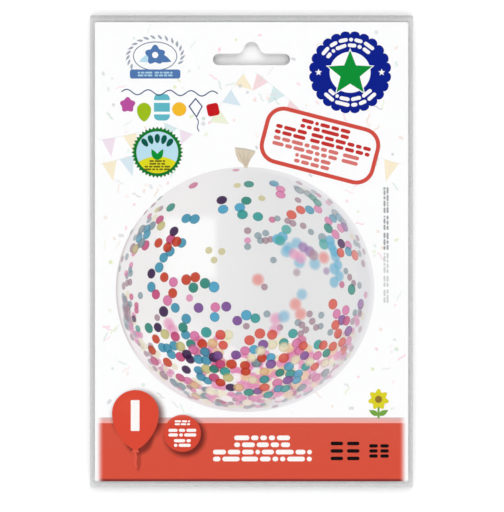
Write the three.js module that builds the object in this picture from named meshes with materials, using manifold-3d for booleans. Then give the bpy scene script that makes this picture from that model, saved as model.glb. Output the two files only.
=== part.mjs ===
// A flat retail packet, lying face up: a clear film sleeve closed round a printed card, with one hang slot
// punched through sleeve and card together. Millimetres: +X right, +Y towards the hang slot, +Z out of the
// printed face. The packet lies on z = 0, on the flat middle of its shallow back pillow.
import * as THREE from "three";
import { mergeVertices } from "three/addons/utils/BufferGeometryUtils.js";
import Module from "manifold-3d";

const wasm = await Module();
wasm.setup();

// ---- Driving dimensions ----

const FILM = 0.05; // thickness of one film
const CLEARANCE = 0.3; // between the card's faces and the film over and under them

const SLEEVE = { width: 134, height: 196, cornerRadius: 0.8 };

// The card stops short of the sleeve's edge by a side, a top and a bottom margin of clear film.
const MARGIN = { side: 2.0, top: 2.9, bottom: 2.6 };
const CARD = {
  width: SLEEVE.width - 2 * MARGIN.side,
  height: SLEEVE.height - MARGIN.top - MARGIN.bottom,
  centreY: (MARGIN.bottom - MARGIN.top) / 2,
  underside: 2.4,
  thickness: 0.4,
  cornerRadius: 1.0,
};

// The margin is the weld: both films in one flat flange round the card, starting just outside its edge.
const WELD = { gap: 0.5, centreZ: 2.6 };

// The back film: flat behind the header, and bulged down to the floor below it by the air in the packet.
const PILLOW = {
  topY: 66,
  inset: 1.6, // from the card's edge to where the bulge starts
  flatHalfWidth: 30,
  flatHalfHeight: 53,
  rings: 7,
};

// The hang slot: a bar with round ends, and a hump over its middle that blends into the bar.
const SLOT = {
  halfLength: 16,
  bottomY: 77.2,
  topY: 82.1,
  humpTopY: 87,
  humpRadius: 3.25,
  blendRadius: 3.2,
};

const CORNER_STEPS = 6; // facets of a rounded corner
const EDGE_STEPS = 14; // facets of each straight side between two corners
const ARC_SEGMENTS = 10; // facets of each arc of the slot and of the card's corners

const FRONT_Z = CARD.underside + CARD.thickness + CLEARANCE; // inner face of the front film
const BACK_Z = CARD.underside - CLEARANCE; // inner face of the back film behind the header

// ---- Outlines ----

/** Points of a rounded rectangle, the same number for every rectangle, so that two of them can be lofted. */
function roundedRectangle({ halfX, halfY, centreY = 0, radius }) {
  const corners = [
    [1, 1],
    [-1, 1],
    [-1, -1],
    [1, -1],
  ];
  const arcs = corners.map(([signX, signY], quarter) =>
    Array.from({ length: CORNER_STEPS + 1 }, (_, step) => {
      const angle = (quarter + step / CORNER_STEPS) * (Math.PI / 2);
      return new THREE.Vector2(
        signX * (halfX - radius) + radius * Math.cos(angle),
        centreY + signY * (halfY - radius) + radius * Math.sin(angle),
      );
    }),
  );
  return arcs.flatMap((arc, quarter) => {
    const last = arc[arc.length - 1];
    const next = arcs[(quarter + 1) % arcs.length][0];
    const side = Array.from({ length: EDGE_STEPS - 1 }, (_, step) =>
      last.clone().lerp(next, (step + 1) / EDGE_STEPS),
    );
    return [...arc, ...side];
  });
}

/** The card's rectangle, grown outwards by a distance. */
function cardRectangle(grow) {
  return roundedRectangle({
    halfX: CARD.width / 2 + grow,
    halfY: CARD.height / 2 + grow,
    centreY: CARD.centreY,
    radius: CARD.cornerRadius + Math.max(grow, 0),
  });
}

/** Traces the hang slot on a THREE.Path or THREE.Shape, counter-clockwise. */
function traceSlot(path) {
  const endRadius = (SLOT.topY - SLOT.bottomY) / 2;
  const endX = SLOT.halfLength - endRadius;
  const barY = SLOT.bottomY + endRadius;
  const humpY = SLOT.humpTopY - SLOT.humpRadius;
  const blendY = SLOT.topY + SLOT.blendRadius;
  const blendX = Math.sqrt(
    (SLOT.humpRadius + SLOT.blendRadius) ** 2 - (blendY - humpY) ** 2,
  );
  const meet = Math.atan2(blendY - humpY, blendX); // where hump and blend touch, seen from the hump's centre
  const quarter = Math.PI / 2;
  path.moveTo(-endX, SLOT.bottomY);
  path.lineTo(endX, SLOT.bottomY);
  path.absarc(endX, barY, endRadius, -quarter, quarter, false);
  path.absarc(blendX, blendY, SLOT.blendRadius, 3 * quarter, Math.PI + meet, true);
  path.absarc(0, humpY, SLOT.humpRadius, meet, Math.PI - meet, false);
  path.absarc(-blendX, blendY, SLOT.blendRadius, -meet, -quarter, true);
  path.absarc(-endX, barY, endRadius, quarter, 3 * quarter, false);
  return path;
}

// ---- Solids ----

/** A closed manifold-3d solid from a geometry whose shared vertices may still be split. */
function toSolid(geometry) {
  const bare = geometry.clone();
  bare.deleteAttribute("normal");
  bare.deleteAttribute("uv");
  const merged = mergeVertices(bare, 1e-4);
  return new wasm.Manifold(
    new wasm.Mesh({
      numProp: 3,
      vertProperties: new Float32Array(merged.attributes.position.array),
      triVerts: new Uint32Array(merged.index.array),
    }),
  );
}

/** A three.js geometry, flat shaded, from a manifold-3d solid. */
function toGeometry(solid) {
  const { vertProperties, triVerts } = solid.getMesh();
  const geometry = new THREE.BufferGeometry();
  geometry.setAttribute("position", new THREE.BufferAttribute(vertProperties, 3));
  geometry.setIndex(new THREE.BufferAttribute(triVerts, 1));
  geometry.computeVertexNormals();
  return geometry;
}

/** One closed skin through a stack of levels from the bottom up, each {outline, z}, with flat ends. */
function loft(levels) {
  const count = levels[0].outline.length;
  const positions = levels.flatMap(({ outline, z }) =>
    outline.flatMap((point) => [point.x, point.y, z]),
  );
  const indices = [];
  for (let level = 0; level + 1 < levels.length; level++) {
    for (let i = 0; i < count; i++) {
      const a = level * count + i;
      const b = level * count + ((i + 1) % count);
      indices.push(a, b, b + count, a, b + count, a + count);
    }
  }
  const first = 0;
  const last = (levels.length - 1) * count;
  for (let i = 1; i + 1 < count; i++) {
    indices.push(first, first + i + 1, first + i);
    indices.push(last, last + i, last + i + 1);
  }
  const geometry = new THREE.BufferGeometry();
  geometry.setAttribute("position", new THREE.Float32BufferAttribute(positions, 3));
  geometry.setIndex(indices);
  return toSolid(geometry);
}

/** The back pillow's levels, from the flat spot up to its rim; lift raises them by the film's thickness. */
function pillowLevels(lift) {
  const rim = {
    halfX: CARD.width / 2 - PILLOW.inset,
    bottomY: CARD.centreY - CARD.height / 2 + PILLOW.inset,
    topY: PILLOW.topY,
    radius: 4,
  };
  const middleY = (rim.bottomY + rim.topY) / 2;
  const flat = {
    halfX: PILLOW.flatHalfWidth,
    bottomY: middleY - PILLOW.flatHalfHeight,
    topY: middleY + PILLOW.flatHalfHeight,
    radius: 22,
  };
  return Array.from({ length: PILLOW.rings + 1 }, (_, ring) => {
    const t = ring / PILLOW.rings;
    const mix = (key) => THREE.MathUtils.lerp(flat[key], rim[key], t);
    const outline = roundedRectangle({
      halfX: mix("halfX"),
      halfY: (mix("topY") - mix("bottomY")) / 2,
      centreY: (mix("topY") + mix("bottomY")) / 2,
      radius: mix("radius"),
    });
    const rise = THREE.MathUtils.smoothstep(t, 0, 1);
    return { outline, z: lift + (BACK_Z - FILM) * rise };
  });
}

/** The sleeve's outside: pillow, header back, flange and front face. */
function sleeveOutside() {
  const margin = roundedRectangle({
    halfX: SLEEVE.width / 2,
    halfY: SLEEVE.height / 2,
    radius: SLEEVE.cornerRadius,
  });
  return loft([
    ...pillowLevels(0),
    { outline: cardRectangle(0.15), z: BACK_Z - FILM },
    { outline: cardRectangle(WELD.gap), z: WELD.centreZ - FILM },
    { outline: margin, z: WELD.centreZ - FILM },
    { outline: margin, z: WELD.centreZ + FILM },
    { outline: cardRectangle(WELD.gap), z: WELD.centreZ + FILM },
    { outline: cardRectangle(0.28), z: FRONT_Z - 0.1 },
    { outline: cardRectangle(0.02), z: FRONT_Z + FILM },
  ]);
}

/** The space between the two films, which the card lies in. */
function sleeveInside() {
  return loft([
    ...pillowLevels(FILM),
    { outline: cardRectangle(0.11), z: BACK_Z },
    { outline: cardRectangle(WELD.gap - 0.02), z: WELD.centreZ },
    { outline: cardRectangle(0.24), z: FRONT_Z - 0.13 },
    { outline: cardRectangle(0), z: FRONT_Z },
  ]);
}

/** A prism of the slot's outline that passes right through the packet. */
function slotPunch() {
  const punch = new THREE.ExtrudeGeometry(traceSlot(new THREE.Shape()), {
    depth: 6,
    bevelEnabled: false,
    curveSegments: ARC_SEGMENTS,
  });
  return toSolid(punch.translate(0, 0, -1));
}

// ---- Pieces ----

function makeFilmSleeve() {
  const film = sleeveOutside().subtract(sleeveInside()).subtract(slotPunch());
  const mesh = new THREE.Mesh(
    toGeometry(film),
    new THREE.MeshStandardMaterial({
      color: 0xe8ecef,
      roughness: 0.12,
      metalness: 0,
      transparent: true,
      opacity: 0.25,
      flatShading: true,
    }),
  );
  mesh.name = "film_sleeve";
  return mesh;
}

function makePrintedCard() {
  const outline = new THREE.Shape();
  const { width, height, cornerRadius: r } = CARD;
  const quarter = Math.PI / 2;
  [
    [1, -1],
    [1, 1],
    [-1, 1],
    [-1, -1],
  ].forEach(([signX, signY], corner) => {
    const start = (corner - 1) * quarter;
    outline.absarc(
      signX * (width / 2 - r),
      CARD.centreY + signY * (height / 2 - r),
      r,
      start,
      start + quarter,
      false,
    );
  });
  outline.holes.push(traceSlot(new THREE.Path()));
  const board = new THREE.ExtrudeGeometry(outline, {
    depth: CARD.thickness,
    bevelEnabled: false,
    curveSegments: ARC_SEGMENTS,
  });
  const mesh = new THREE.Mesh(
    board,
    new THREE.MeshStandardMaterial({ color: 0xf6f5f3, roughness: 0.5, metalness: 0 }),
  );
  mesh.name = "printed_card";
  mesh.position.z = CARD.underside;
  return mesh;
}

const packet = new THREE.Group();
packet.name = "packet";
packet.add(makePrintedCard(), makeFilmSleeve());

export default packet;
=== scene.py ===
"""Looks of a flat retail hang packet: a printed card in a clear welded film sleeve, lying face up.

The packet's frame has +X right, +Y towards the hang slot and +Z out of the printed face. The print and the
pieces are laid out in millimetres from the middle of the packet, and every mesh is in metres.
"""

import logging
from collections.abc import Callable, Sequence
from dataclasses import dataclass
from enum import Enum

import bpy
import numpy as np
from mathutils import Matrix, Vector
from mathutils.geometry import delaunay_2d_cdt


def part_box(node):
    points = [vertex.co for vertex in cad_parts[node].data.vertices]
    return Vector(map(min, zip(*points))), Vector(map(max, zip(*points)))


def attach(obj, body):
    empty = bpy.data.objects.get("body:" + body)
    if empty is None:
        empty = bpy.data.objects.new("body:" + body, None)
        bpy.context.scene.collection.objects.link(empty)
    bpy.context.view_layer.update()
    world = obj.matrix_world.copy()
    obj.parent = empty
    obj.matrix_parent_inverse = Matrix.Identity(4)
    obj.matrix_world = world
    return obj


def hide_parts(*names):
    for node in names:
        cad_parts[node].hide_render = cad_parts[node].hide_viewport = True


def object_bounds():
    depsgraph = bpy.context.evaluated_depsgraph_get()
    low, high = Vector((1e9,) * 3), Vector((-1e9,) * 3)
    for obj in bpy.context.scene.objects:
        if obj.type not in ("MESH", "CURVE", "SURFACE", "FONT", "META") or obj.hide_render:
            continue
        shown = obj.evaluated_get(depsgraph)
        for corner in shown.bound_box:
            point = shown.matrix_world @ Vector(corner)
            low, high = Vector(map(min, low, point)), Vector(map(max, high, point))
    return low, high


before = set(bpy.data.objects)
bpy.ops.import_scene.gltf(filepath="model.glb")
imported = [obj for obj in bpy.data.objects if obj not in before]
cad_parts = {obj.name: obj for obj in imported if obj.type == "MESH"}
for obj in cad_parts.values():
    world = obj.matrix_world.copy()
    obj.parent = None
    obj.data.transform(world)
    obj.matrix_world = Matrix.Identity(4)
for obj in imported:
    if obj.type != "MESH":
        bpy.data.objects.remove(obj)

LOG = logging.getLogger("packet")
CAD_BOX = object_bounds()

MM = 0.001  # metres in a millimetre
TAU = 2 * np.pi
Colour = np.ndarray  # linear red, green, blue
Outline = np.ndarray  # a closed polygon, (n, 2), in millimetres
Point = tuple[float, float]
Rgb = tuple[float, float, float]

PAPER_GAIN = 1.165  # how much brighter than its own colour the lit print shows through the film
BAND_SHADOW = (0.12, 0.012, 0.01)  # linear colours, this one and the next three
TENT_HORIZON = (1.0, 1.0, 1.0)
TENT_WALL = (0.55, 0.55, 0.56)
TENT_TOP = (0.04, 0.04, 0.045)
CLOUD_SCALE = 38.0  # of the grain's broad swing in roughness
SAME_POINT = 1e-4  # millimetres within which two points of a cut are one
ON_SEAM = 1e-3  # millimetres within which a vertex lies on the weld's edge
MIX_SHARE, MIX_A, MIX_B, MIX_RESULT = 0, 6, 7, 2  # the sockets of a Mix node for colours

# A row of strokes: these are shares of its height, but for the least gap.
STROKE_HEIGHT = 0.4
STROKE_LENGTH = 0.95
STROKE_GAP = 0.16
LEAST_GAP = 0.28  # millimetres
GROUP_GAP = 0.5


def seen_as(red: float, green: float, blue: float) -> Colour:
    """The linear surface colour that the lit print needs to show as this sRGB colour, 0 to 255."""
    share = np.array([red, green, blue]) / 255
    return np.where(share <= 0.04045, share / 12.92, ((share + 0.055) / 1.055) ** 2.4) / PAPER_GAIN


class Ink(Enum):
    """The print's inks, as the sRGB colours that they show."""

    PAPER = (255, 255, 255)
    SLATE = (82, 122, 178)
    SLATE_LINE = (112, 128, 150)
    SLATE_DARK = (72, 92, 128)
    TEAL = (98, 186, 200)
    RED = (200, 22, 28)
    YELLOW = (246, 190, 45)
    GREEN = (160, 192, 24)
    MAGENTA = (188, 82, 160)
    NAVY = (0, 28, 140)
    LEAF = (0, 145, 52)
    RING_GREEN = (16, 120, 40)
    FOREST = (0, 88, 72)
    SKY = (190, 226, 240)
    HILL = (226, 220, 30)
    OLIVE = (84, 80, 24)
    STAMP = (212, 78, 66)
    STAMP_TEXT = (198, 48, 44)
    STAMP_PALE = (218, 118, 112)
    NOTE = (134, 136, 140)
    KNOT = (218, 204, 180)
    KNOT_DARK = (196, 180, 158)
    KNOT_LIP = (196, 190, 176)
    BALLOON_RED = (222, 76, 54)
    BALLOON_SHINE = (230, 92, 68)
    BALLOON_KNOT = (228, 92, 70)
    BALLOON_STRING = (226, 92, 72)
    WHITE = (255, 253, 250)
    BLACK = (18, 10, 12)
    FLOWER = (222, 212, 40)
    FLOWER_HEART = (150, 120, 50)
    STALK = (120, 168, 70)
    GARLAND_STRING = (214, 222, 224)
    PALE_YELLOW = (250, 236, 202)
    PALE_PINK = (246, 214, 218)
    PALE_BLUE = (212, 230, 240)
    PALE_LILAC = (240, 223, 236)
    PALE_LIME = (236, 241, 210)
    PALE_MIST = (214, 234, 236)
    BIT_GREY = (190, 192, 198)
    BIT_PINK = (248, 190, 208)
    BIT_LIME = (214, 228, 150)
    BIT_GREEN = (184, 218, 194)
    BIT_PEACH = (240, 216, 196)
    BOARD = (246, 245, 241)
    GLASS = (231, 231, 231)
    GLASS_LEFT = (242, 240, 239)
    WINDOW = (254, 254, 253)
    CORNER_GLOW = (252, 250, 250)
    FOOT_BLUSH = (226, 200, 208)
    LEFT_RIM = (200, 184, 186)
    INNER_SHADE = (224, 225, 228)
    RIGHT_RIM = (242, 242, 243)
    VEIL = (232, 228, 230)
    LIP = (247, 174, 164)
    LIP_TOP = (222, 184, 182)
    BAND = (217, 86, 65)
    BAND_LOW = (219, 84, 62)
    BAND_EDGE = (134, 46, 40)

    def colour(self) -> Colour:
        """The linear surface colour of this ink."""
        return seen_as(*self.value)

    def fill(self, outline: Outline, cover: float = 1.0) -> "Patch":
        """A printed shape in this ink."""
        return Patch(outline, self.colour(), cover)

    def fill_all(self, outlines: Sequence[Outline], cover: float = 1.0) -> "list[Patch]":
        """Printed shapes in this ink."""
        return [self.fill(outline, cover) for outline in outlines]

    def row(
        self,
        middle: Point,
        length: float,
        height: float,
        seed: int,
        words: Sequence[float] = (1.0,),
        cover: float = 1.0,
    ) -> "list[Patch]":
        """A row of strokes in this ink, centred on a point; the rest is as stroke_row has it."""
        return self.fill_all([s + middle for s in stroke_row(length, height, seed, words)], cover)


class Tissue(Enum):
    """The colours of the tissue dots pictured in the balloon, as sRGB. Each has an initial of its own."""

    CRIMSON = (208, 72, 44)
    EMBER = (228, 98, 84)
    PINK = (226, 128, 176)
    ROSE = (204, 84, 132)
    SKY = (84, 172, 206)
    BLUE = (76, 158, 186)
    TEAL = (62, 164, 158)
    GREEN = (52, 144, 128)
    VIOLET = (134, 88, 160)
    DAMSON = (66, 34, 82)
    IVORY = (242, 234, 200)
    APRICOT = (236, 196, 150)
    OCHRE = (208, 200, 138)
    LEAD = (126, 152, 160)
    MAUVE = (158, 122, 136)
    WHITE = (250, 246, 245)


def tissues(initials: str) -> list[Tissue]:
    """The tissue colours with these initials."""
    return [next(t for t in Tissue if t.name[0] == initial) for initial in initials]


# ---- Outlines ----


def turned(points: np.ndarray, degrees: float) -> np.ndarray:
    """Points turned about the origin, counter-clockwise."""
    cos, sin = np.cos(np.radians(degrees)), np.sin(np.radians(degrees))
    return points @ np.array([[cos, sin], [-sin, cos]])


def polar(centre: Point, radii: np.ndarray, turn: float = 0.0) -> Outline:
    """An outline whose radius is given at equal steps of angle, counter-clockwise from +X."""
    angles = np.arange(len(radii)) / len(radii) * TAU
    return turned(np.stack([radii * np.cos(angles), radii * np.sin(angles)], 1), turn) + centre


def ellipse(centre: Point, radii: Point, turn: float = 0.0, count: int = 28) -> Outline:
    """An ellipse with its two radii along X and Y before it is turned."""
    unit = polar((0, 0), np.ones(count))
    return turned(unit * radii, turn) + centre


def rounded_box(centre: Point, size: Point, radius: float, turn: float = 0.0, steps: int = 5) -> Outline:
    """A rectangle whose corners are quarter circles.

    Args:
        centre: Its middle.
        size: Its width and height before it is turned.
        radius: The corners' radius.
        turn: Its turn in degrees.
        steps: The edges of each corner.

    Returns:
        The outline.
    """
    half = np.array(size) / 2 - radius
    quarters = np.array([[1, 1], [-1, 1], [-1, -1], [1, -1]])
    angles = (np.arange(4)[:, None] + np.linspace(0, 1, steps + 1)[None]) * np.pi / 2
    arc = radius * np.stack([np.cos(angles), np.sin(angles)], 2)
    points = (quarters[:, None] * half + arc).reshape(-1, 2)
    return turned(points, turn) + centre


def pill(centre: Point, size: Point, turn: float = 0.0) -> Outline:
    """A bar with round ends."""
    return rounded_box(centre, size, min(size) / 2 * 0.96, turn, 3)


def star(centre: Point, outer: float, inner: float, points: int = 5, turn: float = 90.0) -> Outline:
    """A star, as a radius that steps between its tips and its notches."""
    return polar(centre, np.tile([outer, inner], points), turn)


def scalloped(centre: Point, radius: float, lobes: int, depth: float) -> Outline:
    """A disc with round lobes: the radius falls by depth at each notch, as one less a root of a sine."""
    angles = np.arange(lobes * 12) / (lobes * 12) * TAU
    return polar(centre, radius - depth * (1 - np.abs(np.sin(lobes * angles / 2)) ** 0.55))


def serrated(centre: Point, radius: float, teeth: int, depth: float) -> Outline:
    """A disc with pointed teeth."""
    return polar(centre, radius - depth * np.tile([0.0, 1.0], teeth))


def flower(centre: Point, radius: float, petals: int, pinch: float, turn: float = 90.0) -> Outline:
    """A flower: the radius swings between its petals' tips and the pinch between them, as a cosine."""
    angles = np.arange(petals * 10) / (petals * 10) * TAU
    return polar(centre, radius * (1 - pinch * (0.5 - 0.5 * np.cos(petals * angles))), turn)


def leaf(base: Point, length: float, width: float, turn: float) -> Outline:
    """A leaf: its half width follows half a sine of the way along it to the power 0.8, widest near the base.

    Args:
        base: Where it starts.
        length: From there to its tip.
        width: Its greatest width.
        turn: The way that it points, in degrees from +X.

    Returns:
        The outline.
    """
    along = np.linspace(0, 1, 9)
    half = width / 2 * np.sin(np.pi * along**0.8)
    right = np.stack([along * length, -half], 1)
    left = np.stack([along[-2:0:-1] * length, half[-2:0:-1]], 1)
    return turned(np.concatenate([right, left]), turn) + base


def brush_line(points: np.ndarray, width: float) -> Outline:
    """A line of even width: each point is set off to both sides along the local normal.

    Args:
        points: The line's middle, (n, 2).
        width: Its width.

    Returns:
        The outline, down one side and back up the other.
    """
    along = np.gradient(points, axis=0)
    along /= np.linalg.norm(along, axis=1)[:, None]
    side = np.stack([-along[:, 1], along[:, 0]], 1) * width / 2
    return np.concatenate([points - side, (points + side)[::-1]])


def wavy_line(start: Point, end: Point, swing: float, waves: float, width: float) -> Outline:
    """A brush line that swings to both sides of a straight way, as a sine.

    Args:
        start: The way's start.
        end: Its end.
        swing: How far the line swings to each side.
        waves: How many waves it makes.
        width: Its width.

    Returns:
        The outline.
    """
    along = np.linspace(0, 1, int(waves * 10) + 4)[:, None]
    way = np.subtract(end, start)
    normal = np.array([-way[1], way[0]]) / np.hypot(*way)
    middle = start + along * way + swing * np.sin(along * waves * TAU) * normal
    return brush_line(middle, width)


def drop(centre: Point, radius: float, tail: float) -> Outline:
    """A balloon's outline: a half disc over a lower half that narrows, as a cosine to the power 1.5.

    Args:
        centre: The half disc's centre.
        radius: Its radius.
        tail: How far below the centre the lower half ends.

    Returns:
        The outline.
    """
    angles = np.arange(48) / 48 * TAU
    cos, sin = np.cos(angles), np.sin(angles)
    narrow = np.where(sin < 0, np.abs(cos) ** 1.5, np.abs(cos)) * np.sign(cos)
    reach = np.where(sin < 0, tail, radius)
    return np.stack([radius * narrow, sin * reach], 1) + centre


def bent(outline: Outline, centre: Point, radius: float, at: float) -> Outline:
    """An outline bent round a circle: its X runs along the arc from this angle, and its Y outwards."""
    angle, reach = np.radians(at) - outline[:, 0] / radius, radius + outline[:, 1]
    return np.stack([reach * np.cos(angle), reach * np.sin(angle)], 1) + centre


def stroke_row(length: float, height: float, seed: int, words: Sequence[float] = (1.0,)) -> list[Outline]:
    """A row of short bars in two storeys, which stands for a line of print and has no letters in it.

    Args:
        length: The row's whole length, centred on the origin.
        height: The row's height, from the bottom of the lower bars to the top of the upper ones.
        seed: The seed of the bars' lengths.
        words: The share of the length of each group of bars.

    Returns:
        The bars' outlines.
    """
    rng = np.random.default_rng(seed)
    bar, gap, space = height * STROKE_HEIGHT, max(height * STROKE_GAP, LEAST_GAP), height * GROUP_GAP
    room = length - space * (len(words) - 1)
    bars, x = [], -length / 2
    for word in words:
        end = x + room * word
        for y in (height / 2 - bar / 2, bar / 2 - height / 2):
            count = max(int((end - x) / (height * STROKE_LENGTH)), 1)
            cuts = np.sort(rng.uniform(0.3, 1.0, count).cumsum())
            cuts = x + (end - x + gap) * np.concatenate([[0], cuts / cuts[-1]])
            middles, widths = (cuts[1:] + cuts[:-1] - gap) / 2, np.diff(cuts) - gap
            bars += [pill((m, y), (max(w, bar), bar)) for m, w in zip(middles, widths)]
        x = end + space
    return bars


# ---- The print, patch by patch ----


@dataclass(frozen=True)
class Patch:
    """One printed shape.

    Attributes:
        outline: Its edge, in millimetres.
        ink: Its linear surface colour.
        cover: How much of what is under it the ink hides.
        dye: How much the ink also takes on the colour under it, as tissue over tissue does.
    """

    outline: Outline
    ink: Colour
    cover: float = 1.0
    dye: float = 0.0


def soft_patches(shape: Callable[[float], Outline], ink: Colour, cover: float, blur: float) -> list[Patch]:
    """A blurred patch, as shrinking outlines whose covers add up to cover.

    Args:
        shape: Gives the outline at a scale of its size.
        ink: The linear surface colour.
        cover: The cover in the middle.
        blur: How far the edge spreads in and out, as a share of the size.

    Returns:
        The patches, the largest first.
    """
    scales = np.linspace(1 + blur, 1 - blur, 5)
    each = 1 - (1 - cover) ** (1 / len(scales))
    return [Patch(shape(scale), ink, each) for scale in scales]


@dataclass(frozen=True)
class Garland:
    """A faint string of pennants."""

    start: Point
    end: Point
    sag: float  # less than 0 arches it
    flag_width: float
    flag_length: float
    colours: tuple[Ink, ...]  # one for each pennant

    def patches(self) -> list[Patch]:
        """The string, and triangles hung square to it at equal steps.

        Returns:
            The patches, the string's first.
        """
        made = [Ink.GARLAND_STRING.fill(brush_line(self.at(np.linspace(0, 1, 15)), 0.25), 0.55)]
        half = self.flag_width / 2 / np.hypot(*np.subtract(self.end, self.start))
        for number, ink in enumerate(self.colours):
            place = (number + 0.5) / len(self.colours)
            left, right = self.at(np.array([place - half, place + half]))
            way = right - left
            down = np.array([way[1], -way[0]]) / np.hypot(*way)
            down = down if down[1] < 0 else -down
            tip = (left + right) / 2 + down * self.flag_length
            made.append(ink.fill(np.array([left, right, tip]), 0.85))
        return made

    def at(self, along: np.ndarray) -> np.ndarray:
        """Points of the string: the straight way between its ends, less a parabola of depth sag."""
        straight = np.outer(1 - along, self.start) + np.outer(along, self.end)
        return straight - np.outer(4 * along * (1 - along), (0, self.sag))


@dataclass(frozen=True)
class PartyGround:
    """The card's white ground: faint garlands, and faint paper bits scattered round the balloon."""

    balloon: "BalloonPrint"
    seed: int = 11
    bits: int = 330  # those thrown over the balloon among them
    low: Point = (-62.5, -67.0)
    high: Point = (62.5, 93.0)
    clear: float = 1.03  # how far out they start, as a share of the balloon's radii

    def patches(self) -> list[Patch]:
        """Garlands first, then the bits.

        Returns:
            The patches.
        """
        yellow, pink, blue = Ink.PALE_YELLOW, Ink.PALE_PINK, Ink.PALE_BLUE
        lilac, lime, mist = Ink.PALE_LILAC, Ink.PALE_LIME, Ink.PALE_MIST
        garlands = (
            Garland((-2.6, 74.6), (-18.0, 52.4), -1.0, 6.4, 7.2, (yellow, blue, lime)),
            Garland((1.2, 74.6), (21.5, 57.4), -0.6, 6.2, 7.0, (pink, mist, pink)),
            Garland((-63.8, 46.2), (-46.0, 49.6), 0.3, 5.8, 7.8, (lilac, yellow)),
            Garland((-62.8, 36.4), (-48.0, 40.2), 0.3, 6.2, 8.3, (yellow, blue)),
            Garland((-36.6, 53.6), (-24.0, 48.4), 0.2, 5.8, 5.6, (mist, lilac)),
            Garland((53.6, 38.8), (62.6, 36.2), 0.2, 6.4, 8.8, (yellow,)),
        )
        return [p for g in garlands for p in g.patches()] + self.scatter()

    def scatter(self) -> list[Patch]:
        """Dots, little squares and squiggles, thrown at random outside the balloon.

        Returns:
            A patch for each bit that falls clear of the balloon.
        """
        rng = np.random.default_rng(self.seed)
        tints = (Ink.BIT_GREY, Ink.BIT_PINK, Ink.BIT_LIME, Ink.BIT_GREEN, Ink.BIT_PEACH)
        made = []
        for _ in range(self.bits):
            place = rng.uniform(self.low, self.high)
            turn, kind = rng.uniform(0, 180), rng.integers(3)
            size, cover = rng.uniform(0.5, 0.95), rng.uniform(0.2, 0.62)
            tint = tints[rng.integers(len(tints))]
            if np.hypot(*((place - self.balloon.centre) / self.balloon.radii)) < self.clear:
                continue
            if kind == 0:
                outline = ellipse(place, (size, size), count=10)
            elif kind == 1:
                outline = rounded_box(place, (size * 2.4, size * 1.4), 0.2, turn, 2)
            else:
                reach = turned(np.array([[1.9, 0.0]]), turn)[0]
                outline = wavy_line(place - reach, place + reach, 0.35, 1.0, 0.6)
            made.append(tint.fill(outline, cover))
        return made


@dataclass(frozen=True)
class Drift:
    """Tissue dots along a path over the balloon, set in order or thrown round it.

    Attributes:
        path: Points of the way, as shares of the balloon's radii from its middle.
        colours: The initials of their colours.
        count: How many dots are thrown; 0 sets one dot of each colour instead, on the points in order.
        spread: How far thrown dots lie off the path, one standard deviation, in the same shares.
        apart: The least distance between two thrown dots, in dot diameters.
        far: True if they lie on the balloon's far side, where they look smaller and paler.
        blur: How soft their edges are.
    """

    path: tuple[Point, ...]
    colours: str
    count: int = 0
    spread: float = 0.0
    apart: float = 0.5
    far: bool = False
    blur: float = 0.0


def on_rim(reach: float, start: int, end: int) -> tuple[Point, ...]:
    """Points of a balloon's rim, from one angle to another in degrees, at this share of its radius."""
    angles = np.radians(np.arange(start, end + 1, 15))
    return tuple((reach * np.cos(a), reach * np.sin(a)) for a in angles)


def set_dots(*rows: tuple, far: bool = False, blur: float = 0.0) -> list[Drift]:
    """Drifts whose dots are set one by one.

    Args:
        *rows: For each drift its dots' initials, then their places in hundredths of the balloon's radii.
        far: True if they lie on the far side.
        blur: How soft their edges are.

    Returns:
        A drift for each row.
    """
    return [
        Drift(tuple((x / 100, y / 100) for x, y in places), colours, far=far, blur=blur)
        for colours, *places in rows
    ]


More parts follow.
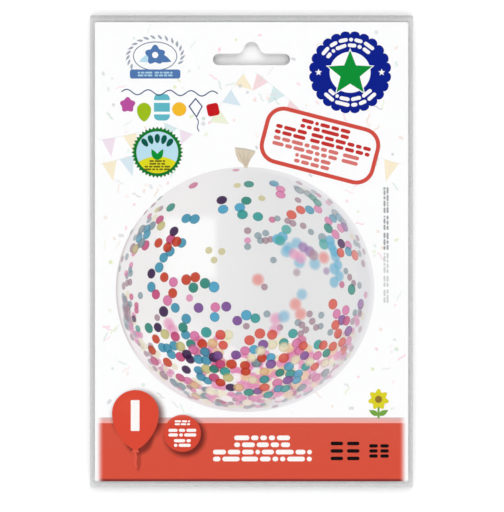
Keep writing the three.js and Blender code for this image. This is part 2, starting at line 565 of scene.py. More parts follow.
# The large balloon's dots, from its far side to its near side.
DRIFTS = (
    # Small pale dots on the far side: thrown along the rim, then set one by one.
    Drift(on_rim(0.93, 135, 235), "MLMLPIMM", 34, 0.02, 0.2, far=True, blur=0.1),
    Drift(on_rim(0.9, 195, 345), "PPIPIM", 120, 0.035, 0.2, far=True, blur=0.2),
    Drift(on_rim(0.96, 225, 330), "MLMLPI", 50, 0.012, 0.2, far=True, blur=0.1),
    Drift(on_rim(0.91, 240, 315), "RMLPLM", 34, 0.03, 0.3, far=True),
    Drift(on_rim(0.93, -45, 75), "MLMLPI", 20, 0.02, 0.4, far=True, blur=0.1),
    *set_dots(
        ("LLLMMMPL", (10, 44), (16, 46), (12, 40), (16, 40), (20, 41), (2, 48), (2, 40), (2, 35)),
        ("RLMMMLM", (21, 57), (25, 58), (33, 56), (37, 54), (45, 52), (51, 47), (41, 73)),
        ("MOORMML", (42, 87), (13, 74.5), (-6, 85), (-7, 97.5), (50, -20), (52, -26), (59, -21)),
        ("LMLMMM", (58.5, -30), (55, -31), (41, -27), (44, -29), (43, -36), (47, -33)),
        ("LMMRLLM", (66, -35), (81, 10), (84, 5), (75, 4), (78, 15), (85, -19), (89, -20)),
        ("PLMMLOO", (-43, -7), (17, -20), (1, -30), (27, -31), (22, 24), (-28, 32), (-18, 31)),
        ("OMMLRRR", (-24, 24), (15, 2), (-68, -23), (-81, -5), (-88, -6), (-84, -13), (-84, -17)),
        ("T", (-83, -32)),
        far=True,
    ),
    *set_dots(("MLML", (-93, -9), (-93, -15), (-92, -20), (-92, -26)), blur=0.15),
    *set_dots(
        ("LMMLLD", (-93, -8), (-90, -14), (-92, -17), (-91, -24), (-92, -30), (-86, -24)),
        ("LMMLMM", (-89, -12), (-93, -15), (-92, -22), (-66, 74.5), (-71, 69), (-77, 63)),
        ("ROLMLPL", (-74, 60), (-68, 65), (-88, 47), (-95, 25), (-97, 17), (-92, 13), (-89, 16)),
        ("MMLMMR", (-89, 6), (87, 42), (88, 36), (92, 31), (66, 72), (57, 77)),
        far=True,
    ),
    # Blurred dots, most of them near.
    *set_dots(("SSSSS", (40, 38), (34, 34), (32, 31), (42, 22), (54, 21)), blur=0.28),
    *set_dots(("PPPP", (38, 29), (43, 26), (-59, -28), (-56, -33)), blur=0.3),
    *set_dots(("VVM", (45, 34.5), (50, 31), (53, 28)), blur=0.2),
    *set_dots(("MV", (40, 14), (63, 15)), far=True, blur=0.3),
    *set_dots(("SSSSS", (72, 20), (69, 17), (73, 11), (69, 6), (70, 27)), blur=0.2),
    *set_dots(
        ("EEEPPSS", (39, -12), (43, -20), (10, 8), (24, -24), (23, -33), (30, -22), (44, -4)),
        ("E", (61, 26)),
        blur=0.3,
    ),
    # Near dots at the top and on the right, nearly all of them sharp.
    *set_dots(
        ("DSBBRG", (-18, 73), (-17, 65.5), (-45.5, 58), (-39, 57.5), (-40, 85), (-57.5, 67)),
        ("GGSTTB", (3, 86), (1, 72.5), (-4, 67), (-2, 61.2), (10, 59.5), (22.5, 86.5)),
        ("PPLEEB", (27.5, 82), (27.5, 77.5), (42, 81), (36, 61), (43, 65), (50, 65)),
        ("PLGGLBL", (56.5, 65.5), (49, 78), (52.5, 75), (56, 71), (70, 62), (73, 58.5), (76, 55)),
        ("VBPGPP", (77, 51), (68, 58), (64.5, 56), (64.5, 50), (74, 50), (70, 45)),
    ),
    *set_dots(("LTSSS", (60, 42), (61, 37), (66, 40), (67, 35), (69, 31)), blur=0.1),
    *set_dots(("DPEBE", (74.5, 37.5), (80, 36), (74, 30), (80, 31), (85, 28))),
    *set_dots(("SSTT", (29, 43), (25, 41), (27, 40), (32, 49)), blur=0.08),
    *set_dots(
        ("GVPPEV", (82.5, 0), (89.5, -12), (78, -17), (71, -20), (68, -12), (75, -25)),
        ("RPVEEE", (78.5, -25.5), (80, -42), (80, -34), (70, -29), (72, -36), (75, -43)),
        ("E", (76, -50)),
    ),
    # Sharp near dots in swags on the left.
    *set_dots(
        ("RORMOLL", (-66, 57), (-65, 52), (-77, 36), (-87, 34), (-85, 33), (-80, 49), (-72, 52)),
        ("BLBBBB", (-76, 49.5), (-80, 38), (-82, 42), (-76, 45), (-58, 31), (-63, 26)),
        ("BBDCRC", (-66.5, 18), (-72.5, 2), (-72.5, 13), (-67, 38), (-57.5, 41), (-60, 34.5)),
        ("BCDCPC", (-49, 38), (-53, 39), (-55, 47.5), (-62.5, 10), (-55.5, 6), (-56, -3)),
        ("PRDBGGS", (-60, -9), (-69, -4), (-63, -18), (-54, -15), (-40, 1.5), (-31, 5), (-24, 2)),
        ("CCVPV", (-45.5, 8), (-38.5, 10), (-36, -15), (-23, -14.5), (-14.5, -14)),
        ("SSVTG", (-23.5, -22.5), (1, -21), (-6, -25.5), (8, -23.5), (-74.5, -31.5)),
        ("DOCCC", (-67.5, -31), (-62, -36.5), (-69, -40.5), (-72, -49.5), (-60, -59.5)),
        ("DRMRP", (-45.5, -65.5), (-70, -58.5), (-63, -70), (-50, -72), (-44, -74.5)),
        ("ALLAL", (-39, -78), (-55, -76), (-49, -79), (-38, -87), (-30, -87)),
    ),
    # The heap at the foot: two pale beds of thrown dots, then sharp dots on them.
    Drift(((-0.34, -0.5), (-0.1, -0.62), (0.2, -0.62), (0.56, -0.52)), "PPWPAWIR", 70, 0.07, 0.4, blur=0.12),
    Drift(((-0.26, -0.76), (0.1, -0.82), (0.5, -0.7), (0.68, -0.52)), "PPWPAWI", 70, 0.06, 0.35, blur=0.15),
    *set_dots(
        ("BOGPC", (-55, -46), (-50, -46.5), (-42, -44.5), (-40, -49), (-33, -44.5)),
        ("BBBRDD", (-64, -47.5), (-60, -48), (-57, -53), (-50, -55), (-45, -53), (-42.5, -57)),
        ("BBBDVR", (-36, -57), (-30, -58), (-31, -51), (-24, -55.5), (-21, -54), (-54, -38.5)),
        ("PBBGTI", (-39, -38), (-46, -37), (-45.5, -24), (-48, -31), (-30, -35), (-13, -37)),
        ("AEEBOG", (-25, -44), (-19, -37), (-17, -45.5), (-36, -66), (-30, -65), (-24, -65)),
        ("RBBRTO", (-19, -61), (-34, -71.5), (-29, -74.5), (-24, -72), (-15.5, -67), (-13, -72)),
        ("CCVCCD", (-19, -76), (-10.5, -61), (-7, -53.5), (0, -62), (0.5, -67), (-11, -80)),
        ("AGVETIT", (-5, -80), (3, -84), (10, -83), (15, -80), (18, -86), (6, -74), (15, -73.5)),
        ("ALSVPGS", (15, -67), (9, -60), (20, -55.5), (20, -61), (25, -76), (27, -68), (34, -63)),
        ("TSSVEI", (35, -69), (41, -69), (40, -74), (33, -74), (30, -56), (39, -57.5)),
        ("TEIVPPP", (47, -63), (54, -63), (50, -59), (46, -54), (40, -44), (42, -50), (56, -54)),
        ("IEEEEI", (62, -60), (45, -46), (3.5, -41.5), (11.5, -36), (21, -37), (21, -45)),
        ("VSPCIIT", (14, -45), (7, -49), (0, -50), (13, -56), (5, -56), (12, -50), (30, -43.5)),
        ("ITETEG", (30, -47), (37, -36), (68, -46.5), (56.5, -45), (60.5, -45.5), (63, -52)),
        ("BTLPL", (26, -81), (31, -81), (44, -80), (55, -72), (62, -68)),
    ),
)


@dataclass(frozen=True)
class BalloonPrint:
    """The picture of a clear balloon with tissue dots in it."""

    centre: Point = (-2.7, -15.8)
    radii: Point = (53.6, 50.8)
    dot: float = 2.2  # radius of a near dot that faces the viewer
    far_dot: float = 0.68  # a far dot's size as a share of that
    dot_swing: Point = (0.94, 1.06)  # the smallest and the largest, as shares of the usual size
    near_veil: Rgb = (240, 228, 233)  # the sRGB colour that near dots fade to
    far_veil: Rgb = (206, 198, 202)  # the one for far dots
    outermost: float = 0.985  # how far out a thrown dot may lie, as a share of the radii
    throws: int = 12  # how often it looks for a free place
    seed: int = 5

    def patches(self) -> list[Patch]:
        """The knot, then every drift's dots.

        Returns:
            The patches, the lowest first.
        """
        made = self.knot_patches()
        rng = np.random.default_rng(self.seed)
        for drift in DRIFTS:
            colours, places = tissues(drift.colours), np.array(drift.path)
            if drift.count:
                places = self.thrown(drift, places, rng)
                colours = [colours[i] for i in rng.integers(len(colours), size=len(places))]
            for place, tissue in zip(places, colours):
                made += self.dot_patches(place, drift, tissue, rng)
        return made

    def knot_patches(self) -> list[Patch]:
        """The knot on top: a flared neck, four creases and a rolled lip.

        Returns:
            The patches, the neck's first.
        """
        x, top = self.centre[0], self.centre[1] + self.radii[1]
        neck = [(-4.2, 8.0), (-3.8, 5.0), (-2.7, 2.6), (-0.9, 1.1), (-0.2, -0.5), (1.0, -0.5)]
        neck += [(1.5, 1.6), (2.2, 3.4), (4.0, 5.4), (4.3, 6.4), (0.4, 7.5)]
        ways = ((7.4, 117), (7.2, 100), (6.4, 78), (5.6, 60))
        creases = [leaf((x + 0.3, top + 0.3), length, 0.9, turn) for length, turn in ways]
        lip = np.array([(x - 4.2, top + 7.9), (x - 0.2, top + 7.5), (x + 4.1, top + 6.5)])
        return [
            Ink.KNOT.fill(np.array(neck) + (x, top), 0.95),
            *Ink.KNOT_DARK.fill_all(creases, 0.55),
            Ink.KNOT_LIP.fill(brush_line(lip, 0.7), 0.8),
        ]

    def thrown(self, drift: Drift, path: np.ndarray, rng: np.random.Generator) -> list[np.ndarray]:
        """Where a drift's thrown dots lie: one for each equal stretch of the path, in random order.

        Args:
            drift: The drift.
            path: Its path.
            rng: Throws the dots.

        Returns:
            The places, each apart from those before it and inside the balloon; a dot may find none.
        """
        steps = np.concatenate([[0], np.linalg.norm(np.diff(path, axis=0), axis=1).cumsum()])
        least = drift.apart * 2 * self.dot / self.radii[0]
        found: list[np.ndarray] = []
        for share in (rng.permutation(drift.count) + 0.5) / drift.count:
            for _ in range(self.throws):
                at = (share + rng.uniform(-0.5, 0.5) / drift.count) * steps[-1]
                middle = np.array([np.interp(at, steps, path[:, 0]), np.interp(at, steps, path[:, 1])])
                place = middle + rng.normal(0, drift.spread, 2)
                clear = not found or np.linalg.norm(np.array(found) - place, axis=1).min() > least
                if np.hypot(*place) < self.outermost and clear:
                    found.append(place)
                    break
        return found

    def haze(self, place: np.ndarray, drift: Drift) -> float:
        """How far a dot fades: towards the rim as a power of 1.5, more so on the right, and again with blur.

        Args:
            place: The dot's place, as shares of the radii.
            drift: Its drift.

        Returns:
            The share of the veil's colour in it.
        """
        at_rim = np.clip((np.hypot(*place) - 0.74) / 0.24, 0, 1) ** 1.5
        haze = (0.3 + 0.25 * np.clip(place[0] + 0.5, 0, 1)) * at_rim
        haze = max(haze, 0.18 if drift.far else 0.0)
        return haze + (1 - haze) * (0.14 * np.clip((place[0] + 0.1) / 0.6, 0, 1) + 0.45 * drift.blur)

    def dot_patches(
        self, place: np.ndarray, drift: Drift, tissue: Tissue, rng: np.random.Generator
    ) -> list[Patch]:
        """One dot: a disc whose width along the radius shrinks as a power of one less the radius squared.

        Args:
            place: Its place, as shares of the radii.
            drift: Its drift.
            tissue: Its colour.
            rng: Gives its size.

        Returns:
            Several patches if it is blurred, one if it is far, and else a darker rim with a lighter middle.
        """
        squeeze = (1 - min(np.hypot(*place), 0.995) ** 2) ** 0.32
        size = self.dot * (self.far_dot if drift.far else 1.0) * rng.uniform(*self.dot_swing)
        turn = np.degrees(np.arctan2(place[1] * self.radii[1], place[0] * self.radii[0]))
        middle = np.array(self.centre) + place * self.radii
        haze = self.haze(place, drift)
        veil = np.array(self.far_veil if drift.far else self.near_veil)
        ink = seen_as(*(np.array(tissue.value) * (1 - haze) + veil * haze))

        def disc(scale: float) -> Outline:
            """The dot's outline at a scale."""
            return ellipse(middle, (size * squeeze * scale, size * scale), turn, 16)

        if drift.blur:
            return soft_patches(disc, ink, 0.95 - 0.8 * drift.blur, drift.blur)
        if drift.far:
            return [Patch(disc(1.0), ink, 0.88, 0.3)]
        return [Patch(disc(1.0), ink * 0.84, 0.95, 0.42), Patch(disc(0.7), ink, 0.5)]


@dataclass(frozen=True)
class HeaderPrint:
    """The upper left corner: a leafy emblem and a row of bright party shapes, with no words."""

    emblem: Point = (-40.0, 81.0)
    row_low: float = 56.4  # where the row's shapes are set from

    def patches(self) -> list[Patch]:
        """The emblem, then the row of shapes."""
        return self.emblem_patches() + self.row_patches()

    def emblem_patches(self) -> list[Patch]:
        """An oval line in a wreath of small leaves, round a flower, over a plain bar with light strokes.

        Returns:
            The patches, the lowest first.
        """
        x, y = self.emblem
        wreath = []
        for angle in np.arange(-27, 208, 14.5):
            at = np.radians(angle)
            wreath.append(leaf((x + 10.6 * np.cos(at), y + 7.2 * np.sin(at)), 2.8, 1.0, angle + 58))
        return [
            *Ink.SLATE_LINE.fill_all(wreath, 0.75),
            Ink.SLATE_LINE.fill(ellipse((x, y), (9.2, 6.1), count=56)),
            Ink.PAPER.fill(ellipse((x, y), (8.8, 5.7), count=56)),
            Ink.SKY.fill(leaf((x, y + 0.2), 7.2, 3.2, 200)),
            Ink.SLATE.fill(leaf((x, y + 0.2), 7.2, 3.2, -20)),
            Ink.SLATE.fill(flower((x, y + 0.5), 4.3, 5, 0.3)),
            Ink.PAPER.fill(ellipse((x, y + 0.5), (1.3, 1.3), count=16)),
            Ink.SLATE.fill(rounded_box((x, y - 7.4), (21.0, 3.8), 1.0)),
            *Ink.SKY.row((x, y - 7.4), 14.5, 1.9, 3, (0.45, 0.55), 0.8),
        ]

    def row_patches(self) -> list[Patch]:
        """A flower, a pear, a cracker, a disc, a kite with its tail and a square, under a waved streamer.

        Returns:
            The patches, from left to right.
        """
        low = self.row_low
        kite = np.array([(-23.2, low + 7.4), (-20.2, low + 3.8), (-22.8, low - 1.1), (-26.2, low + 3.8)])
        return [
            Ink.MAGENTA.fill(flower((-51.4, low + 4.4), 3.3, 5, 0.24)),
            Ink.GREEN.fill(drop((-44.6, low + 2.3), 2.95, 4.9)),
            Ink.TEAL.fill(rounded_box((-37.2, low + 3.4), (6.6, 11.0), 2.0)),
            Ink.PAPER.fill(rounded_box((-37.2, low + 5.8), (6.6, 1.1), 0.2)),
            Ink.PAPER.fill(rounded_box((-37.2, low + 1.0), (6.6, 1.1), 0.2)),
            Ink.YELLOW.fill(ellipse((-30.0, low + 2.6), (2.95, 2.9))),
            Ink.SLATE_DARK.fill(kite),
            Ink.PAPER.fill((kite - kite.mean(0)) * 0.78 + kite.mean(0)),
            Ink.SLATE_DARK.fill(wavy_line((-22.8, low - 1.1), (-21.7, low - 6.6), 0.45, 1.0, 0.42)),
            Ink.RED.fill(rounded_box((-16.0, low + 2.4), (5.0, 5.2), 1.2, turn=12.0)),
            Ink.SLATE_DARK.fill(wavy_line((-54.0, 66.2), (-14.0, 65.4), 1.1, 4.5, 0.5)),
        ]


@dataclass(frozen=True)
class GreenSeal:
    """A round seal with teeth: a sprig on a yellow hill under a pale sky."""

    centre: Point = (-39.1, 41.1)
    radius: float = 10.7
    inner: float = 8.7  # of the field inside the ring

    def patches(self) -> list[Patch]:
        """Ring, sky, hill, sprig, and strokes that stand for its print.

        The hill is the field's lower arc, closed along its top by a parabola.

        Returns:
            The patches, the lowest first.
        """
        x, y = self.centre
        low = np.radians(np.linspace(-153, -27, 16))
        bowl = np.stack([self.inner * np.cos(low), self.inner * np.sin(low)], 1)
        crest = np.linspace(1, -1, 9)[1:-1]
        hill = np.stack([crest * bowl[-1, 0], bowl[-1, 1] + 2.3 * (1 - crest**2)], 1)
        beads = [ellipse((step * 2.75, 0.0), (1.1, 1.95), 0, 16) for step in (-2, -1, 0, 1, 2)]
        return [
            Ink.RING_GREEN.fill(serrated(self.centre, self.radius, 40, 1.0)),
            Ink.SKY.fill(ellipse(self.centre, (self.inner, self.inner), count=40)),
            Ink.HILL.fill(np.concatenate([bowl, hill]) + self.centre),
            *Ink.LEAF.fill_all([leaf((x, y - 3.2), 5.2, 2.3, lean) for lean in (62, 118)]),
            *Ink.FOREST.fill_all([bent(bead, (x, y - 3.0), 8.7, 90) for bead in beads]),
            *Ink.OLIVE.row((x, y - 4.2), 6.6, 1.9, 1, cover=0.9),
            *Ink.OLIVE.row((x, y - 6.5), 10.6, 1.9, 2, cover=0.9),
        ]


@dataclass(frozen=True)
class BlueSeal:
    """A scalloped seal: a green star on a white disc, between two arcs of white strokes."""

    centre: Point = (40.9, 74.3)
    radius: float = 17.1
    disc: float = 8.5  # radius of the white disc
    arc: float = 12.4  # radius of the strokes' middle
    side: float = 13.1  # from the middle to the small stars

    def patches(self) -> list[Patch]:
        """Scallops, disc, strokes, the two small stars at its sides, and the star.

        Returns:
            The patches, the lowest first.
        """
        x, y = self.centre
        made = [
            Ink.NAVY.fill(scalloped(self.centre, self.radius, 24, 1.3)),
            Ink.PAPER.fill(ellipse(self.centre, (self.disc, self.disc), count=48)),
        ]
        for at, seed, length in ((96, 21, 22.5), (270, 22, 22.0)):
            row = stroke_row(length, 3.9, seed)
            made += Ink.WHITE.fill_all([bent(stroke, self.centre, self.arc, at) for stroke in row])
        made += Ink.WHITE.fill_all([star((x + way * self.side, y), 1.5, 0.65) for way in (-1, 1)])
        made.append(Ink.PAPER.fill(star((x, y - 0.5), 10.6, 4.7)))
        return made + [Ink.LEAF.fill(star((x, y - 0.5), 9.7, 4.2))]


@dataclass(frozen=True)
class StampPrint:
    """A tilted frame with round corners and four rows of strokes."""

    centre: Point = (28.4, 43.9)
    size: Point = (48.9, 24.2)
    line: float = 1.7  # the frame's thickness
    corner: float = 7.6
    tilt: float = -14.6

    def patches(self) -> list[Patch]:
        """The frame as red over white, then its rows.

        Returns:
            The patches, the lowest first.
        """
        hole = (self.size[0] - 2 * self.line, self.size[1] - 2 * self.line)
        made = [
            Ink.STAMP.fill(rounded_box(self.centre, self.size, self.corner, self.tilt, 8)),
            Ink.PAPER.fill(rounded_box(self.centre, hole, self.corner - self.line, self.tilt, 8)),
        ]
        rows = (
            (0.4, 7.3, 20.8, 31, (1.0,), Ink.STAMP_TEXT),
            (0.6, 2.45, 40.6, 32, (0.34, 0.66), Ink.STAMP_TEXT),
            (-1.2, -2.45, 36.6, 33, (0.8, 0.2), Ink.STAMP_PALE),
            (-1.4, -7.3, 15.0, 34, (1.0,), Ink.STAMP_PALE),
        )
        for x, y, length, seed, words, ink in rows:
            row = stroke_row(length, 3.9, seed, words)
            made += ink.fill_all([turned(stroke + (x, y), self.tilt) + self.centre for stroke in row])
        return made


@dataclass(frozen=True)
class BandPrint:
    """What is printed on the red band along the card's foot, and the small marks round it."""

    balloon: Point = (-48.2, -67.2)  # the middle of its upper half
    balloon_radius: float = 9.7
    badge: Point = (-28.7, -75.5)
    badge_radius: float = 7.7
    bloom: Point = (52.7, -61.4)  # the corner flower's middle
    note_x: float = 55.8

    def patches(self) -> list[Patch]:
        """The small balloon, the badge, the rows of strokes, the corner flower and the side note.

        Returns:
            The patches, the lowest first.
        """
        balloon, badge, rows = self.balloon_patches(), self.badge_patches(), self.row_patches()
        return balloon + badge + rows + self.flower_patches() + self.note_patches()

    def balloon_patches(self) -> list[Patch]:
        """A red balloon with a soft shine and a white bar, its knot and its string.

        Returns:
            The patches, the lowest first.
        """
        x, y = self.balloon
        knot = np.array([(x - 0.5, y - 14.2), (x - 1.7, y - 16.4), (x + 1.7, y - 16.2), (x + 0.6, y - 14.2)])
        shine = [ellipse((x - 3.2, y + 3.4), (5.0 * k, 4.2 * k), 30) for k in (1.0, 0.75, 0.5)]
        return [
            Ink.BALLOON_STRING.fill(wavy_line((x - 0.3, y - 16.0), (x + 0.5, y - 22.6), 0.3, 1.0, 0.9)),
            Ink.BALLOON_KNOT.fill(knot),
            Ink.BALLOON_RED.fill(drop(self.balloon, self.balloon_radius, 15.2)),
            *Ink.BALLOON_SHINE.fill_all(shine, 0.1),
            Ink.WHITE.fill(rounded_box((x - 0.1, y - 0.9), (3.6, 12.8), 0.35)),
        ]

    def badge_patches(self) -> list[Patch]:
        """A red disc with three rows of white strokes.

        Returns:
            The patches, the disc's first.
        """
        x, y = self.badge
        rim = ellipse(self.badge, (self.badge_radius, self.badge_radius), count=48)
        return [
            Ink.BALLOON_RED.fill(rim, 0.93),
            *Ink.WHITE.row((x, y + 4.4), 6.4, 2.0, 41),
            *Ink.WHITE.row((x, y + 0.3), 11.6, 3.2, 42),
            *Ink.WHITE.row((x, y - 4.0), 7.0, 3.2, 43),
        ]

    def row_patches(self) -> list[Patch]:
        """Two white rows in the middle, and black bars on the right.

        Returns:
            The patches.
        """
        bars = [pill((x, y), (5.2, 1.5)) for x in (35.4, 42.2) for y in (-79.7, -82.8, -85.9)]
        bars += [pill((x, y), (3.6, 1.4)) for x in (50.6, 55.2) for y in (-80.7, -82.8, -84.9)]
        rows = Ink.WHITE.row((4.4, -78.8), 23.2, 4.8, 51) + Ink.WHITE.row((4.5, -84.7), 41.0, 4.8, 52)
        return rows + Ink.BLACK.fill_all(bars)

    def flower_patches(self) -> list[Patch]:
        """A small yellow flower on a stalk with two leaves.

        Returns:
            The patches, the lowest first.
        """
        x, y = self.bloom
        return [
            Ink.STALK.fill(rounded_box((x, y - 4.6), (0.9, 6.6), 0.3)),
            *Ink.STALK.fill_all([leaf((x, y - 6.6), 4.6, 2.2, lean) for lean in (28, 152)]),
            Ink.FLOWER.fill(flower((x, y), 4.4, 7, 0.3)),
            Ink.FLOWER_HEART.fill(ellipse((x, y), (1.5, 1.5), count=16)),
        ]

    def note_patches(self) -> list[Patch]:
        """The faint note up the right side, paler in its lower half.

        Returns:
            The patches.
        """
        made = []
        for low, high, seed, cover in ((0.6, 26.7, 61, 0.8), (-21.4, -0.6, 62, 0.45)):
            row = stroke_row(high - low, 2.1, seed, (0.3, 0.25, 0.45))
            middle = (self.note_x, (low + high) / 2)
            made += Ink.NOTE.fill_all([turned(stroke, 90) + middle for stroke in row], cover)
        return made


# ---- Sizes that the two pieces share ----


@dataclass(frozen=True)
class HangSlot:
    """The slot through the header: a bar with round ends, and a hump that blends into its upper edge."""

    half_length: float = 16.0
    low: float = 77.2  # the bar's lower edge
    high: float = 82.1  # its upper edge
    hump_top: float = 87.0
    hump_radius: float = 3.25
    blend_radius: float = 3.2
    steps: int = 10  # the edges of each arc

    def arc(self, centre: Point, radius: float, start: float, end: float) -> np.ndarray:
        """Points of an arc from one angle to another, in radians."""
        angles = np.linspace(start, end, self.steps + 1)
        return np.stack([radius * np.cos(angles), radius * np.sin(angles)], 1) + centre

    def outline(self) -> Outline:
        """The slot's edge as arcs that meet tangentially.

        A blend's centre lies its own radius above the bar, and both radii from the hump's centre, so its X is
        the third side of a right triangle.

        Returns:
            The outline, counter-clockwise.
        """
        end = (self.high - self.low) / 2
        end_x, bar_y = self.half_length - end, self.low + end
        hump_y, blend_y = self.hump_top - self.hump_radius, self.high + self.blend_radius
        blend_x = np.sqrt((self.hump_radius + self.blend_radius) ** 2 - (blend_y - hump_y) ** 2)
        meet = np.arctan2(blend_y - hump_y, blend_x)
        quarter = np.pi / 2
        return np.concatenate(
            [
                self.arc((end_x, bar_y), end, -quarter, quarter),
                self.arc((blend_x, blend_y), self.blend_radius, 3 * quarter, np.pi + meet),
                self.arc((0, hump_y), self.hump_radius, meet, np.pi - meet)[1:-1],
                self.arc((-blend_x, blend_y), self.blend_radius, -meet, -quarter),
                self.arc((-end_x, bar_y), end, quarter, 3 * quarter),
            ]
        )


def area(outline: Outline) -> float:
    """The area within an outline, negative if it runs clockwise."""
    x, y = outline.T
    return float((x * np.roll(y, -1) - y * np.roll(x, -1)).sum() / 2)


def inset_of(points: np.ndarray, low: np.ndarray, high: np.ndarray, radius: float) -> np.ndarray:
    """How far inside a rounded rectangle each point lies: the corners' radius less the way to the shrunk box.

    Args:
        points: The points, (n, 2).
        low: The rectangle's lower left corner.
        high: Its upper right corner.
        radius: The radius of its corners.

    Returns:
        The distances, negative outside it.
    """
    past = np.abs(points - (low + high) / 2) - ((high - low) / 2 - radius)
    outside = np.linalg.norm(np.clip(past, 0, None), axis=1)
    return radius - outside - np.clip(past.max(1), None, 0)


def eased(value: np.ndarray, low: float, high: float) -> np.ndarray:
    """A smooth step from 0 at low to 1 at high."""
    t = np.clip((value - low) / (high - low), 0, 1)
    return t * t * (3 - 2 * t)


def inside(points: np.ndarray, outline: Outline) -> np.ndarray:
    """Whether each point lies inside an outline, by counting the edges that a ray towards +X crosses.

    Args:
        points: The points, (n, 2).
        outline: The outline.

    Returns:
        True for each point inside.
    """
    x, y = points[:, :1], points[:, 1:]
    (ax, ay), (bx, by) = outline.T, np.roll(outline, -1, 0).T
    crosses = (ay > y) != (by > y)
    reach = ax + (y - ay) * (bx - ax) / np.where(by == ay, 1e-12, by - ay)
    return (crosses & (x < reach)).sum(1) % 2 == 1


@dataclass
class FlatMesh:
    """A flat triangulated area cut along outlines.

    Attributes:
        points: The vertices, (n, 2), in millimetres.
        triangles: Three vertex numbers for each face, counter-clockwise.
        owner_face: For each case of an outline covering a face, the face.
        owner: For each such case, the outline's number.
    """

    points: np.ndarray
    triangles: np.ndarray
    owner_face: np.ndarray
    owner: np.ndarray

    def covered(self, outline: int) -> np.ndarray:
        """Which faces an outline covers.

        Args:
            outline: The outline's number.

        Returns:
            True for each face that it covers.
        """
        found = np.zeros(len(self.triangles), bool)
        found[self.owner_face[self.owner == outline]] = True
        return found

    def kept(self, wanted: np.ndarray) -> "FlatMesh":
        """The same area with only some of its faces, and the vertices that they use.

        Args:
            wanted: Which faces stay.

        Returns:
            The smaller mesh.
        """
        used, corners = np.unique(self.triangles[wanted], return_inverse=True)
        number = np.cumsum(wanted) - 1
        case = wanted[self.owner_face]
        faces = corners.reshape(-1, 3)
        return FlatMesh(self.points[used], faces, number[self.owner_face[case]], self.owner[case])

    def rim(self) -> np.ndarray:
        """The directed edges that only one face has.

        Returns:
            The edges' ends, (n, 2), the area on their left.
        """
        ends = np.concatenate([self.triangles[:, [i, (i + 1) % 3]] for i in range(3)])
        key = ends.min(1) * len(self.points) + ends.max(1)
        _, where, count = np.unique(key, return_index=True, return_counts=True)
        return ends[where[count == 1]]


def cut_flat(outlines: Sequence[Outline], loose: np.ndarray | None = None) -> FlatMesh:
    """Triangulates the plane so that every outline's edge is made of whole edges.

    Args:
        outlines: Closed polygons, which may overlap.
        loose: Further points that become vertices.

    Returns:
        The triangles within the outlines' common hull.
    """
    loose = np.empty((0, 2)) if loose is None else loose
    outlines = [outline if area(outline) > 0 else outline[::-1] for outline in outlines]
    ends = np.cumsum([0, *map(len, outlines)])
    faces = [list(range(a, b)) for a, b in zip(ends[:-1], ends[1:])]
    points = np.concatenate([*outlines, loose])
    done = delaunay_2d_cdt([Vector(p) for p in points.tolist()], [], faces, 0, SAME_POINT, True)
    vertices, triangles, owners = done[0], done[2], done[5]
    sizes = np.array([len(ids) for ids in owners])
    flat = FlatMesh(
        np.array([p[:] for p in vertices]),
        np.array([list(f) for f in triangles]),
        np.repeat(np.arange(len(sizes)), sizes),
        np.array([i for ids in owners for i in ids]),
    )
    a, b, c = flat.points[flat.triangles].transpose(1, 0, 2)
    turn = (b[:, 0] - a[:, 0]) * (c[:, 1] - a[:, 1]) - (b[:, 1] - a[:, 1]) * (c[:, 0] - a[:, 0])
    flat.triangles[turn < 0] = flat.triangles[turn < 0][:, ::-1]
    return flat


def lifted(points: np.ndarray, z: np.ndarray | float) -> np.ndarray:
    """Flat points raised to one height, or each to its own."""
    return np.column_stack([points, np.broadcast_to(z, len(points))])


def new_piece(name: str, points: np.ndarray, faces: np.ndarray, slots: np.ndarray) -> bpy.types.Object:
    """A mesh object.

    Args:
        name: Its name.
        points: Its vertices in millimetres, (n, 3).
        faces: Three vertex numbers for each face.
        slots: The number of each face's material.

    Returns:
        The object, linked to the scene.
    """
    mesh = bpy.data.meshes.new(name)
    mesh.from_pydata((points * MM).tolist(), [], faces.tolist())
    mesh.polygons.foreach_set("material_index", slots.astype(np.int32))
    mesh.update()
    piece = bpy.data.objects.new(name, mesh)
    bpy.context.collection.objects.link(piece)
    return piece


# ---- Shader helpers ----


